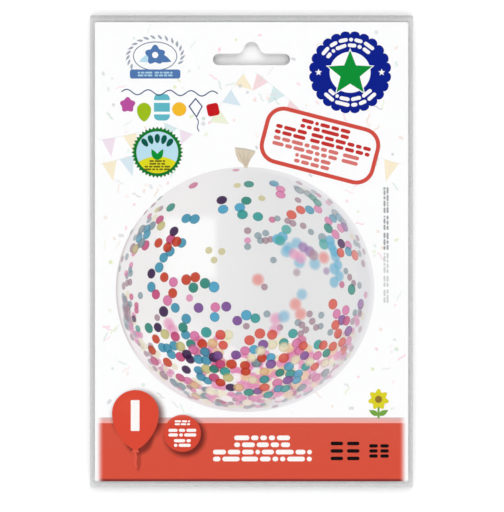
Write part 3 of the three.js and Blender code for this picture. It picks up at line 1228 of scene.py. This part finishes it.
class Graph:
    """Places nodes in a node tree and joins them."""

    def __init__(self, tree: bpy.types.NodeTree) -> None:
        """Wraps an existing node tree."""
        self.tree = tree

    def node(self, kind: str, **settings: object) -> bpy.types.Node:
        """A new node.

        Args:
            kind: Its type.
            **settings: Its properties.

        Returns:
            The node.
        """
        made = self.tree.nodes.new(kind)
        for name, value in settings.items():
            setattr(made, name, value)
        return made

    def feed(self, socket: bpy.types.NodeSocket, value: object) -> None:
        """Links a socket to another, or sets its value.

        Args:
            socket: The input.
            value: An output, a number, or a vector or colour, whose alpha is 1 where it gives none.
        """
        if isinstance(value, bpy.types.NodeSocket):
            self.tree.links.new(value, socket)
        elif isinstance(value, (int, float)):
            socket.default_value = value
        else:
            given = [float(v) for v in value]
            socket.default_value = given + [1.0] * (len(socket.default_value) - len(given))

    def fed(self, node: bpy.types.Node, values: dict[str, object] | Sequence) -> bpy.types.Node:
        """Feeds a node's inputs.

        Args:
            node: The node.
            values: What its named inputs get, or what its first ones get in order.

        Returns:
            The node.
        """
        for key, value in values.items() if isinstance(values, dict) else enumerate(values):
            self.feed(node.inputs[key], value)
        return node

    def math(self, operation: str, *values: object, clamp: bool = False) -> bpy.types.NodeSocket:
        """A Math node's result."""
        return self.fed(self.node("ShaderNodeMath", operation=operation, use_clamp=clamp), values).outputs[0]

    def ease(self, value: object, low: float, high: float) -> bpy.types.NodeSocket:
        """A smooth step from 0 at low to 1 at high, either way round."""
        made = self.node("ShaderNodeMapRange", interpolation_type="SMOOTHSTEP")
        return self.fed(made, (value, *sorted((low, high)), float(low > high), float(low <= high))).outputs[0]

    def masked(self, share: object, *steps: tuple[object, float, float]) -> bpy.types.NodeSocket:
        """A share times smooth steps.

        Args:
            share: The share.
            *steps: For each step what ease takes.

        Returns:
            The product.
        """
        for step in steps:
            share = self.math("MULTIPLY", share, self.ease(*step))
        return share

    def mix(self, share: object, a: object, b: object) -> bpy.types.NodeSocket:
        """A colour between a and b, with this share of b.

        Args:
            share: The share, 0 to 1.
            a: A colour.
            b: The other colour.

        Returns:
            The output.
        """
        made = self.node("ShaderNodeMix", data_type="RGBA")
        for number, value in ((MIX_SHARE, share), (MIX_A, a), (MIX_B, b)):
            self.feed(made.inputs[number], value)
        return made.outputs[MIX_RESULT]

    def from_middle(self, value: object, middle: float, radius: float) -> bpy.types.NodeSocket:
        """How far a coordinate is from a middle, as a share of a radius."""
        return self.math("DIVIDE", self.math("SUBTRACT", value, middle), radius)

    def reach(self, x: object, y: object, centre: Point, radii: Point) -> bpy.types.NodeSocket:
        """The distance from an ellipse's centre as a share of its radii: the root of the shares' squares.

        Args:
            x: The place's X.
            y: Its Y.
            centre: The ellipse's centre.
            radii: Its radii along X and Y.

        Returns:
            The share, 1 on the ellipse.
        """
        u, v = self.from_middle(x, centre[0], radii[0]), self.from_middle(y, centre[1], radii[1])
        squares = self.math("ADD", self.math("MULTIPLY", u, u), self.math("MULTIPLY", v, v))
        return self.math("SQRT", squares)

    def millimetres(self) -> tuple[bpy.types.NodeSocket, bpy.types.NodeSocket]:
        """The place on the piece.

        Returns:
            Its X and Y, in millimetres.
        """
        place = self.node("ShaderNodeTexCoord").outputs["Object"]
        parts = self.fed(self.node("ShaderNodeSeparateXYZ"), (self.scaled(place, 1 / MM),))
        return parts.outputs[0], parts.outputs[1]

    def scaled(self, vector: object, factor: object) -> bpy.types.NodeSocket:
        """A vector or colour times a number."""
        made = self.node("ShaderNodeVectorMath", operation="SCALE")
        return self.fed(made, {"Vector": vector, "Scale": factor}).outputs[0]

    def bumped(self, height: object, strength: float, rise: float) -> bpy.types.NodeSocket:
        """The normal under a height map that rises this far, in millimetres."""
        values = {"Height": height, "Strength": strength, "Distance": rise * MM}
        return self.fed(self.node("ShaderNodeBump"), values).outputs[0]


def new_group(name: str, inputs: dict[str, float], outputs: dict[str, str]) -> tuple:
    """A shader node group with named sockets.

    Args:
        name: The group's name.
        inputs: Each input's default, a number.
        outputs: Each output's kind, Color or Float.

    Returns:
        The group, its Graph, its input node and its output node.
    """
    tree = bpy.data.node_groups.new(name, "ShaderNodeTree")
    for title, value in inputs.items():
        tree.interface.new_socket(title, in_out="INPUT", socket_type="NodeSocketFloat").default_value = value
    for title, kind in outputs.items():
        tree.interface.new_socket(title, in_out="OUTPUT", socket_type=f"NodeSocket{kind}")
    graph = Graph(tree)
    return tree, graph, graph.node("NodeGroupInput"), graph.node("NodeGroupOutput")


def new_material(name: str) -> tuple[bpy.types.Material, Graph, bpy.types.Node, bpy.types.Node]:
    """A node material.

    Args:
        name: Its name.

    Returns:
        The material, its Graph, its Principled BSDF and its output.
    """
    material = bpy.data.materials.new(name)
    material.use_nodes = True
    tree = material.node_tree
    return material, Graph(tree), tree.nodes["Principled BSDF"], tree.nodes["Material Output"]


class SoftPrint:
    """The print's soft parts, as a group: the balloon's glassy body, the band and the shadows on it."""

    def __init__(self, balloon: BalloonPrint, band: BandPrint) -> None:
        """Builds the group, which outputs the ground's colour, and the veil over the balloon's dots.

        Args:
            balloon: The large balloon's print.
            band: The band's print.
        """
        outputs = {"Ground": "Color", "Veil": "Color", "Veil Share": "Float"}
        self.tree, self.graph, _, out = new_group("Soft Print", {}, outputs)
        self.x, self.y = self.graph.millimetres()
        ground = self.shadows(band, self.red_band(self.glass(balloon)))
        reach = self.graph.reach(self.x, self.y, balloon.centre, balloon.radii)
        veil = self.graph.masked(0.2, (reach, 0.86, 1.0), (reach, 1.004, 0.996))
        self.graph.fed(out, {"Ground": ground, "Veil": Ink.VEIL.colour(), "Veil Share": veil})

    def glass(self, balloon: BalloonPrint) -> bpy.types.NodeSocket:
        """White paper with the balloon's body on it: pale grey, lighter on the left, with a bright window.

        Args:
            balloon: The balloon's print.

        Returns:
            The colour.
        """
        graph, (cx, cy), (rx, ry) = self.graph, balloon.centre, balloon.radii
        out = graph.reach(self.x, self.y, balloon.centre, balloon.radii)
        across, up = graph.from_middle(self.x, cx, rx), graph.from_middle(self.y, cy, ry)
        corner = graph.reach(self.x, self.y, (cx - 0.62 * rx, cy - 0.62 * ry), (26, 20))
        window = ((across, -0.19, -0.26), (across, -0.7, -0.56), (up, 0.64, 0.54), (up, 0.02, 0.14))
        layers = (
            (Ink.WINDOW, 0.96, *window),
            (Ink.CORNER_GLOW, 1.0, (corner, 1.2, 0.4)),
            (Ink.FOOT_BLUSH, 0.4, (out, 0.84, 0.96), (up, -0.3, -0.75)),
            (Ink.LEFT_RIM, 0.75, (out, 0.975, 0.997), (across, -0.75, -0.93)),
            (Ink.INNER_SHADE, 0.6, (out, 0.84, 0.93), (across, -0.1, 0.6)),
            (Ink.RIGHT_RIM, 0.75, (out, 0.955, 0.985), (across, -0.3, 0.4)),
        )
        body = graph.mix(graph.ease(across, 0.35, -0.6), Ink.GLASS.colour(), Ink.GLASS_LEFT.colour())
        for ink, share, *steps in layers:
            body = graph.mix(graph.masked(share, *steps), body, ink.colour())
        return graph.mix(graph.ease(out, 1.004, 0.996), Ink.PAPER.colour(), body)

    def red_band(self, ground: object) -> bpy.types.NodeSocket:
        """A red band with a pale upper lip, a dark lower edge and soft ends.

        Args:
            ground: The colour under it.

        Returns:
            The colour with the band.
        """
        graph, y = self.graph, self.y
        ends = graph.ease(graph.math("ABSOLUTE", self.x), 64.4, 61.2)
        lip = graph.mix(graph.ease(y, -70.9, -69.2), Ink.LIP.colour(), Ink.LIP_TOP.colour())
        ground = graph.mix(graph.masked(ends, (y, -68.8, -69.0)), ground, lip)
        red = graph.mix(graph.ease(y, -90, -74), Ink.BAND_LOW.colour(), Ink.BAND.colour())
        red = graph.mix(graph.ease(y, -94.0, -94.9), red, Ink.BAND_EDGE.colour())
        return graph.mix(graph.masked(ends, (y, -71.1, -71.4)), ground, red)

    def shadows(self, band: BandPrint, ground: object) -> bpy.types.NodeSocket:
        """Soft shadows under the small balloon, its narrow lower half, its string and the badge.

        Args:
            band: The band's print.
            ground: The colour under them.

        Returns:
            The colour with the shadows.
        """
        (bx, by), (cx, cy) = band.balloon, band.badge
        for centre, radii, depth in (
            ((bx + 1.2, by - 1.2), (band.balloon_radius, band.balloon_radius), 0.88),
            ((bx + 1.4, by - 9.4), (5.6, 6.8), 0.8),
            ((bx + 1.2, by - 19.0), (1.1, 4.4), 0.4),
            ((cx + 1.1, cy - 1.1), (band.badge_radius, band.badge_radius), 0.9),
        ):
            away = self.graph.reach(self.x, self.y, centre, radii)
            ground = self.graph.mix(self.graph.masked(depth, (away, 1.3, 0.9)), ground, BAND_SHADOW)
        return ground


def grain_group() -> bpy.types.NodeTree:
    """A group for fine grain on paper and film.

    Returns:
        The group, which puts out a shade, a roughness and a height that vary over the surface.
    """
    inputs = {"Scale": 900.0, "Roughness": 0.4, "Roughness Swing": 0.1, "Shade Swing": 0.012}
    outputs = {"Shade": "Float", "Roughness": "Float", "Height": "Float"}
    tree, graph, given, out = new_group("Fine Grain", inputs, outputs)
    place = graph.node("ShaderNodeTexCoord").outputs["Object"]
    noises = []
    for scale, detail in ((given.outputs["Scale"], 4.0), (CLOUD_SCALE, 2.0)):
        values = {"Vector": place, "Scale": scale, "Detail": detail}
        noises.append(graph.fed(graph.node("ShaderNodeTexNoise"), values).outputs["Fac"])
    fibre, cloud = noises
    swing = graph.math("MULTIPLY", graph.math("SUBTRACT", cloud, 0.5), given.outputs["Roughness Swing"])
    shade = graph.math("MULTIPLY", graph.math("SUBTRACT", fibre, 0.5), given.outputs["Shade Swing"])
    roughness = graph.math("ADD", given.outputs["Roughness"], swing, clamp=True)
    graph.fed(out, {"Roughness": roughness, "Shade": graph.math("ADD", shade, 1.0), "Height": fibre})
    return tree


# ---- Finishes ----


@dataclass(frozen=True)
class PaperFinish:
    """Coated board: plain, or with the print on it."""

    name: str
    grain: bpy.types.NodeTree
    roughness: float = 0.42
    bump: float = 0.06  # how much of the grain's relief shows
    print_group: SoftPrint | None = None

    def material(self) -> bpy.types.Material:
        """The finish as a material. The printed side mixes the soft print, the inks and the veil.

        Returns:
            The material.
        """
        material, graph, shader, _ = new_material(self.name)
        grain = graph.node("ShaderNodeGroup", node_tree=self.grain)
        graph.fed(grain, {"Scale": 1400.0, "Roughness": self.roughness})
        colour: object = Ink.BOARD.colour()
        if self.print_group:
            soft = graph.node("ShaderNodeGroup", node_tree=self.print_group.tree)
            ink = graph.node("ShaderNodeAttribute", attribute_type="GEOMETRY", attribute_name="ink")
            colour = graph.mix(ink.outputs["Alpha"], soft.outputs["Ground"], ink.outputs["Color"])
            colour = graph.mix(soft.outputs["Veil Share"], colour, soft.outputs["Veil"])
        shaded = graph.scaled(colour, grain.outputs["Shade"])
        normal = graph.bumped(grain.outputs["Height"], self.bump, 0.05)
        values = {"Base Color": shaded, "Roughness": grain.outputs["Roughness"], "Normal": normal}
        graph.fed(shader, values | {"Specular IOR Level": 0.15})
        return material


@dataclass(frozen=True)
class FilmFinish:
    """Clear film: see-through straight on, and more of a mirror at a slant."""

    name: str
    grain: bpy.types.NodeTree
    tint: Rgb = (0.985, 0.985, 0.985)  # what one face does to the light that passes it
    face_on: float = 0.035  # the share of the light that it turns back, seen straight on
    milk: Rgb = (0.95, 0.96, 0.97)  # the colour of that light
    metallic: float = 1.0  # 1 for a clean mirror, and 0 for a milky face
    roughness: float = 0.09
    ribs: float = 0.0  # height of the weld's crimping as a bump, 0 for none
    rib_pitch: float = 0.8
    hem_shade: Rgb | None = None  # the darker colour of the turned light in the hem along the top edge, painted shade of its fold, if that differs
    hem_shade_low: float = 96.4  # the Y where the hem's painted shade starts
    hem_shade_high: float = 97.1  # the Y from which it is full

    def material(self) -> bpy.types.Material:
        """Mixes a Transparent and a Principled shader by how slanted the view is.

        The share turned back is face_on plus 0.8 times the fifth power of the slant, as Schlick's formula has
        it. The ribs are one sine along X times another along Y.

        Returns:
            The material.
        """
        material, graph, shader, out = new_material(self.name)
        grain = graph.node("ShaderNodeGroup", node_tree=self.grain)
        swing = self.roughness * 0.8
        graph.fed(grain, {"Scale": 600.0, "Roughness": self.roughness, "Roughness Swing": swing})
        colour, height = self.milk, grain.outputs["Height"]
        # painted shade: by its Y, the hem along the top edge gets a darker colour
        if self.hem_shade:
            _, y = graph.millimetres()
            colour = graph.mix(graph.ease(y, self.hem_shade_low, self.hem_shade_high), self.milk, self.hem_shade)
        if self.ribs:
            ways = graph.millimetres()
            waves = [graph.math("SINE", graph.math("MULTIPLY", way, TAU / self.rib_pitch)) for way in ways]
            height = graph.math("MULTIPLY", *waves)
        normal = graph.bumped(height, 0.25, 0.01 + self.ribs)
        graph.fed(shader, {"Base Color": colour, "Metallic": self.metallic, "Normal": normal})
        graph.feed(shader.inputs["Roughness"], grain.outputs["Roughness"])
        clear = graph.node("ShaderNodeBsdfTransparent")
        graph.feed(clear.inputs["Color"], self.tint)
        mirror = graph.math("POWER", graph.node("ShaderNodeLayerWeight").outputs["Facing"], 5.0)
        share = graph.math("MULTIPLY_ADD", mirror, 0.8, self.face_on, clamp=True)
        mixed = graph.fed(graph.node("ShaderNodeMixShader"), (share, clear.outputs[0], shader.outputs[0]))
        graph.feed(out.inputs["Surface"], mixed.outputs[0])
        return material


# ---- The two pieces ----


@dataclass
class PrintedCard:
    """The printed card: its front cut along every printed shape, with walls and a plain back."""

    slot: HangSlot
    balloon: BalloonPrint
    band: BandPrint
    grain: bpy.types.NodeTree
    corner: float = 1.0
    map_edge: float = 0.01  # what the bake's map leaves free at its edge
    rear_corner: Point = (0.7, 0.01)  # where the back starts in that map
    rear_scale: float = 0.42  # its scale there, as a share of the front's
    name: str = "card"

    def patches(self) -> list[Patch]:
        """Everything that is printed.

        Returns:
            The patches, the lowest first.
        """
        corner_marks = (HeaderPrint(), GreenSeal(), BlueSeal(), StampPrint())
        layers = (PartyGround(self.balloon), self.balloon, *corner_marks, self.band)
        return [patch for layer in layers for patch in layer.patches()]

    def make(self) -> bpy.types.Object:
        """Builds the card in the CAD card's box and dresses it.

        Returns:
            The piece.
        """
        low, high = (np.array(corner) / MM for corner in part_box("printed_card"))
        middle, size = (low + high) / 2, high - low
        sheet = rounded_box(middle[:2], size[:2], self.corner)
        patches = self.patches()
        flat = cut_flat([sheet, self.slot.outline(), *(p.outline for p in patches)])
        flat = flat.kept(flat.covered(0) & ~flat.covered(1))
        ink = self.inked(flat, patches)
        piece = self.solid(flat, low[2], high[2])
        colours = np.zeros((len(piece.data.polygons), 4), np.float32)
        colours[: len(ink)] = ink
        layer = piece.data.attributes.new("ink", "FLOAT_COLOR", "FACE")
        layer.data.foreach_set("color", colours.ravel())
        self.unfold(piece, low, size)
        soft = SoftPrint(self.balloon, self.band)
        piece.data.materials.append(PaperFinish("card_print", self.grain, print_group=soft).material())
        piece.data.materials.append(PaperFinish("card_board", self.grain, 0.6, 0.12).material())
        LOG.info("%s: %d patches, %d faces", self.name, len(patches), len(piece.data.polygons))
        return piece

    def inked(self, flat: FlatMesh, patches: list[Patch]) -> np.ndarray:
        """Lays the patches over each other: ink over ink by cover, and tissue over tissue as a dye.

        Args:
            flat: The cut front; its outlines 0 and 1 are the card's edge and the slot.
            patches: The shapes, in the order of the outlines that follow.

        Returns:
            Each face's linear colour and cover, (n, 4).
        """
        colour = np.zeros((len(flat.triangles), 3))
        cover = np.zeros(len(flat.triangles))
        order = np.argsort(flat.owner, kind="stable")
        starts = np.searchsorted(flat.owner[order], np.arange(len(patches) + 3))
        for number, patch in enumerate(patches, start=2):
            at = flat.owner_face[order[starts[number] : starts[number + 1]]]
            under = (cover[at] * patch.dye)[:, None]
            ink = patch.ink * (1 - under + under * colour[at] * PAPER_GAIN)
            total = patch.cover + cover[at] * (1 - patch.cover)
            mixed = ink * patch.cover + colour[at] * (cover[at] * (1 - patch.cover))[:, None]
            colour[at] = mixed / total[:, None]
            cover[at] = total
        return np.concatenate([colour, cover[:, None]], 1)

    def solid(self, flat: FlatMesh, low: float, high: float) -> bpy.types.Object:
        """Gives the cut front walls down its rim, and a back on the rim's lower vertices.

        Args:
            flat: The cut front.
            low: The height of the back.
            high: The height of the front.

        Returns:
            The closed piece, with material 0 on its front and 1 elsewhere.
        """
        rim = flat.rim()
        edge, below = np.unique(rim, return_inverse=True)
        below = below.reshape(-1, 2) + len(flat.points)
        walls = np.stack([rim[:, 1], rim[:, 0], below[:, 0], below[:, 1]], 1)
        back = cut_flat([], flat.points[edge])
        nearest = np.linalg.norm(flat.points[edge][None] - back.points[:, None], axis=2).argmin(1)
        centres = back.points[back.triangles].mean(1)
        wanted = back.triangles[~inside(centres, self.slot.outline())][:, ::-1]
        under = nearest[wanted] + len(flat.points)
        points = np.concatenate([lifted(flat.points, high), lifted(flat.points[edge], low)])
        triangles = np.concatenate([flat.triangles, walls[:, [0, 1, 2]], walls[:, [0, 2, 3]], under])
        slots = np.ones(len(triangles))
        slots[: len(flat.triangles)] = 0
        return new_piece(self.name, points, triangles, slots)

    def unfold(self, piece: bpy.types.Object, low: np.ndarray, size: np.ndarray) -> None:
        """Makes the map for the bake: the front fills its left two thirds, the back and walls share the rest.

        Args:
            piece: The piece.
            low: The lower corner of its box.
            size: Its box's size.
        """
        mesh = piece.data
        corner = np.empty(len(mesh.loops), np.int32)
        mesh.loops.foreach_get("vertex_index", corner)
        place = np.empty(len(mesh.vertices) * 3)
        mesh.vertices.foreach_get("co", place)
        place = (place.reshape(-1, 3)[corner] / MM - low)[:, :2]
        slots = np.empty(len(mesh.polygons), np.int32)
        mesh.polygons.foreach_get("material_index", slots)
        rear = np.repeat(slots, 3) == 1
        scale = (1 - 2 * self.map_edge) / size[1]
        spot = self.map_edge + place * scale
        spot[rear] = self.rear_corner + place[rear] * scale * self.rear_scale
        mesh.uv_layers.new(name="OFBake").data.foreach_set("uv", spot.ravel())


@dataclass
class FilmSleeve:
    """The clear sleeve: two films with true thickness, apart over the card and one flange round it."""

    slot: HangSlot
    grain: bpy.types.NodeTree
    film: float = 0.05  # the thickness of one film
    weld_gap: float = 0.5  # from the card's edge to the weld
    weld_corner: float = 0.9  # radius of the weld's inner corners
    weld_drop: float = 0.2  # from the card's front down to the weld's middle
    air: float = 0.3  # from the card's faces to the films
    corner: float = 0.8
    pillow_inset: float = 1.6  # from the card's edge to where the back bulges
    pillow_top: float = 66.0
    flat_half: Point = (30.0, 53.0)  # the bulge's flat spot
    pucker: float = 0.16  # height of the puckers on its flanks
    ripple: float = 0.06  # height of the front's slow ripples
    step: float = 2.2  # of the films' own grid
    name: str = "sleeve"

    def make(self) -> bpy.types.Object:
        """Builds the sleeve in the CAD sleeve's box and dresses it.

        Returns:
            The piece.
        """
        low, high = (np.array(corner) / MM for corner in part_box("film_sleeve"))
        card_low, card_high = (np.array(corner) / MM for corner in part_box("printed_card"))
        weld_low, weld_high = card_low[:2] - self.weld_gap, card_high[:2] + self.weld_gap
        sheet = rounded_box((low + high)[:2] / 2, (high - low)[:2], self.corner)
        rings = self.rings(weld_low, weld_high)
        axes = [np.arange(a + self.step, b, self.step) for a, b in zip(weld_low, weld_high)]
        grid = np.stack(np.meshgrid(*axes), 2).reshape(-1, 2)
        grid = grid[inset_of(grid, weld_low, weld_high, 1.0) > self.step]
        flat = cut_flat([sheet, self.slot.outline(), *rings], grid)
        flat = flat.kept(flat.covered(0) & ~flat.covered(1))
        inset = inset_of(flat.points, weld_low, weld_high, self.weld_corner)
        tops = self.front_height(flat.points, inset, card_high[2])
        bottoms = self.back_height(flat.points, inset, card_low, card_high)
        piece = self.shell(flat, flat.covered(2), inset, tops, bottoms)
        piece.data.shade_smooth()
        piece.data.set_sharp_from_angle(angle=np.radians(50))
        for finish in (FilmFinish("clear_film", self.grain), self.weld_finish()):
            piece.data.materials.append(finish.material())
        LOG.info("%s: %d faces", self.name, len(piece.data.polygons))
        return piece

    def weld_finish(self) -> FilmFinish:
        """The margin's finish: milky crimped film, with painted shade that darkens the closed hem along the
        top.

        Returns:
            The finish.
        """
        return FilmFinish(
            "film_weld",
            self.grain,
            tint=(0.965, 0.965, 0.965),
            face_on=0.33,
            milk=(0.53, 0.53, 0.53),
            metallic=0.0,
            roughness=0.4,
            ribs=0.008,
            # painted shade in the hem along the top edge
            hem_shade=(0.31, 0.31, 0.31),
        )

    def rings(self, low: np.ndarray, high: np.ndarray) -> list[Outline]:
        """Rounded rectangles inside each other, from the weld inwards, whose points lie side by side.

        Args:
            low: The lower left corner of the weld's inner edge.
            high: Its upper right corner.

        Returns:
            The outlines, each with the same number of points.
        """
        made, counts = [], None
        for inset, radius in ((0.0, self.weld_corner), (0.25, 0.9), (0.5, 0.9), (0.8, 1.0), (1.4, 1.6)):
            corners = rounded_box((low + high) / 2, high - low - 2 * inset, radius)
            after = np.roll(corners, -1, 0)
            if counts is None:
                counts = np.ceil(np.linalg.norm(after - corners, axis=1) / self.step).astype(int)
            start = np.repeat(np.arange(len(corners)), counts)
            along = np.concatenate([np.arange(n) / n for n in counts])[:, None]
            made.append(corners[start] * (1 - along) + after[start] * along)
        return made

    def waves(self, points: np.ndarray, seed: int, lengths: Point, count: int) -> np.ndarray:
        """Slow waves: the mean of sines along random directions.

        Args:
            points: The places, (n, 2).
            seed: The seed of the directions, lengths and phases.
            lengths: The shortest and the longest wave.
            count: How many sines there are.

        Returns:
            The height at each place, between -1 and 1.
        """
        rng = np.random.default_rng(seed)
        angles, phases = rng.uniform(0, np.pi, count), rng.uniform(0, TAU, count)
        rates = TAU / rng.uniform(*lengths, count)
        ways = np.stack([np.cos(angles), np.sin(angles)]) * rates
        return np.sin(points @ ways + phases).mean(1)

    def front_height(self, points: np.ndarray, inset: np.ndarray, card_top: float) -> np.ndarray:
        """The front film's outer face: up from the flange over the card's edge, then flat with slow ripples.

        Args:
            points: The places, (n, 2).
            inset: How far inside the weld they lie.
            card_top: The height of the card's front.

        Returns:
            Their heights.
        """
        flange, face = card_top - self.weld_drop + self.film, card_top + self.air + self.film
        rise = eased(inset, 0.0, self.weld_gap)
        calm = eased(inset, 1.0, 10.0)
        return flange + (face - flange) * rise + self.ripple * calm * self.waves(points, 3, (16, 42), 7)

    def back_height(
        self, points: np.ndarray, inset: np.ndarray, low: np.ndarray, high: np.ndarray
    ) -> np.ndarray:
        """The back film's outer face: down from the flange behind the card, then a shallow pillow.

        The pillow's depth follows a smooth step of a rounded distance from its flat spot, the fourth root of
        the sum of the fourth powers, with slack puckers on its flanks.

        Args:
            points: The places, (n, 2).
            inset: How far inside the weld they lie.
            low: The lower corner of the card's box.
            high: Its upper corner.

        Returns:
            Their heights.
        """
        flange, behind = high[2] - self.weld_drop - self.film, low[2] - self.air - self.film
        pillow_low = low[:2] + self.pillow_inset
        pillow_high = np.array([high[0] - self.pillow_inset, self.pillow_top])
        middle = (pillow_low + pillow_high) / 2
        past = (np.abs(points - middle) - self.flat_half) / ((pillow_high - pillow_low) / 2 - self.flat_half)
        out = np.clip((np.clip(past, 0, None) ** 4).sum(1) ** 0.25, 0, 1)
        flank = eased(out, 0.05, 0.5) * eased(out, 1.0, 0.6)
        pucker = self.pucker * flank * self.waves(points, 8, (7, 13), 4)
        bulge = behind * eased(out, 0.0, 1.0) + pucker
        bulge = np.where(out <= 0, 0.0, np.clip(bulge, 0.01, behind))
        step_down = flange + (behind - flange) * eased(inset, 0.0, self.weld_corner)
        return np.where(inset > self.weld_corner, bulge, step_down)

    def shell(
        self, flat: FlatMesh, pocket: np.ndarray, inset: np.ndarray, tops: np.ndarray, bottoms: np.ndarray
    ) -> bpy.types.Object:
        """Closes the two films into one shell.

        Args:
            flat: The sleeve's plan, less the slot.
            pocket: Which of its faces lie within the weld.
            inset: How far inside the weld's inner edge each vertex lies.
            tops: The height of the front film's outer face at each vertex.
            bottoms: The height of the back film's outer face at each vertex.

        Returns:
            The sleeve: outer skins of the whole plan, inner skins of the pocket that share the weld's edge,
            and walls round the outer edge and through each film at the slot.
        """
        count = len(flat.points)
        used = np.unique(flat.triangles[pocket])
        on_seam = inset[used] < ON_SEAM
        seam, loose = used[on_seam], used[~on_seam]
        inner_top, inner_low = np.full(count, -1), np.full(count, -1)
        inner_top[used] = 2 * count + np.arange(len(used))
        inner_low[seam] = inner_top[seam]
        inner_low[loose] = 2 * count + len(used) + np.arange(len(loose))
        roof = np.where(on_seam, ((tops + bottoms) / 2)[used], tops[used] - self.film)
        points = np.concatenate(
            [
                lifted(flat.points, tops),
                lifted(flat.points, bottoms),
                lifted(flat.points[used], roof),
                lifted(flat.points[loose], bottoms[loose] + self.film),
            ]
        )
        rim = flat.rim()
        outer = inset[rim].max(1) < 0
        edge, hole = rim[outer], rim[~outer]
        skins = [
            flat.triangles,
            flat.triangles[:, ::-1] + count,
            inner_top[flat.triangles[pocket]][:, ::-1],
            inner_low[flat.triangles[pocket]],
            *self.wall(edge, edge + count),
            *self.wall(hole, inner_top[hole]),
            *self.wall(inner_low[hole], hole + count),
        ]
        faces = np.concatenate(skins)
        weld = np.zeros(len(faces))
        weld[: 2 * len(pocket)] = np.tile(~pocket, 2)
        weld[-2 * len(edge) - 4 * len(hole) : -4 * len(hole)] = 1
        return new_piece(self.name, points, faces, weld)

    def wall(self, upper: np.ndarray, lower: np.ndarray) -> tuple[np.ndarray, np.ndarray]:
        """A wall under directed edges, facing away from the area on their left.

        Args:
            upper: The vertices of the wall's upper edges, (n, 2).
            lower: Those of its lower edges.

        Returns:
            Two triangles for each edge, (n, 3) and (n, 3).
        """
        first = np.stack([upper[:, 1], upper[:, 0], lower[:, 0]], 1)
        second = np.stack([upper[:, 1], lower[:, 0], lower[:, 1]], 1)
        return first, second


# ---- Studio ----


@dataclass(frozen=True)
class Studio:
    """Floor, light and camera. None of them is part of the packet."""

    lens: float = 200.0
    sensor: float = 36.0
    packet_share: float = 0.641  # of the image's width
    aim: Point = (0.19, -1.91)  # the view's middle, in millimetres from the packet's
    floor_reach: float = 12.0  # in metres
    suns: tuple[float, ...] = (62.0, 118.0, 242.0, 298.0)  # their angles round the packet
    sun_strength: float = 1.14
    sun_height: float = 48.0  # degrees above the floor
    sun_softness: float = 50.0  # the angle that each takes up in the sky

    def build(self) -> None:
        """Makes all of it."""
        self.camera()
        self.floor()
        self.world()
        for number, around in enumerate(self.suns):
            self.sun(f"soft_light_{number}", around)

    def camera(self) -> None:
        """A long lens that looks straight down on the packet."""
        low, high = CAD_BOX
        width = (high.x - low.x) / self.packet_share
        data = bpy.data.cameras.new("camera")
        data.lens, data.sensor_width, data.sensor_fit = self.lens, self.sensor, "HORIZONTAL"
        camera = bpy.data.objects.new("camera", data)
        camera.location = (self.aim[0] * MM, self.aim[1] * MM, high.z + width * self.lens / self.sensor)
        bpy.context.collection.objects.link(camera)
        bpy.context.scene.camera = camera

    def floor(self) -> None:
        """A plain pale floor at the height where the packet rests."""
        reach = self.floor_reach
        mesh = bpy.data.meshes.new("floor")
        corners = [(-reach, -reach, 0), (reach, -reach, 0), (reach, reach, 0), (-reach, reach, 0)]
        mesh.from_pydata(corners, [], [(0, 1, 2, 3)])
        floor = bpy.data.objects.new("floor", mesh)
        bpy.context.collection.objects.link(floor)
        material, graph, shader, _ = new_material("pale_floor")
        graph.fed(shader, {"Base Color": (0.8, 0.8, 0.8), "Roughness": 0.9, "Specular IOR Level": 0.0})
        mesh.materials.append(material)

    def world(self) -> None:
        """A studio tent: white at the horizon and dark overhead, so that the film mirrors nothing upwards."""
        world = bpy.data.worlds.new("studio")
        bpy.context.scene.world = world
        world.use_nodes = True
        graph = Graph(world.node_tree)
        parts = graph.node("ShaderNodeSeparateXYZ")
        graph.feed(parts.inputs[0], graph.node("ShaderNodeTexCoord").outputs["Generated"])
        up = graph.math("ABSOLUTE", parts.outputs[2])
        wall = graph.mix(graph.ease(up, 0.05, 0.3), TENT_HORIZON, TENT_WALL)
        light = graph.mix(graph.ease(up, 0.35, 0.95), wall, TENT_TOP)
        graph.feed(world.node_tree.nodes["Background"].inputs["Color"], light)

    def sun(self, name: str, around: float) -> None:
        """A wide soft light from far off, turned so that no gloss mirrors it.

        Args:
            name: Its name.
            around: Its angle round the packet, in degrees.
        """
        data = bpy.data.lights.new(name, "SUN")
        data.energy = self.sun_strength
        data.angle = np.radians(self.sun_softness)
        light = bpy.data.objects.new(name, data)
        light.rotation_euler = (0, np.radians(90 - self.sun_height), np.radians(around))
        light.visible_glossy = False
        bpy.context.collection.objects.link(light)


def main() -> None:
    """Builds the packet's pieces, then the studio."""
    logging.basicConfig(level=logging.INFO, format="%(message)s")
    bpy.context.scene.view_settings.view_transform = "Standard"
    slot, grain = HangSlot(), grain_group()
    card = PrintedCard(slot, BalloonPrint(), BandPrint(), grain).make()
    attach(card, "root")
    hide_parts("printed_card")
    sleeve = FilmSleeve(slot, grain).make()
    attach(sleeve, "root")
    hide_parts("film_sleeve")
    Studio().build()


if __name__ == "__main__":
    main()
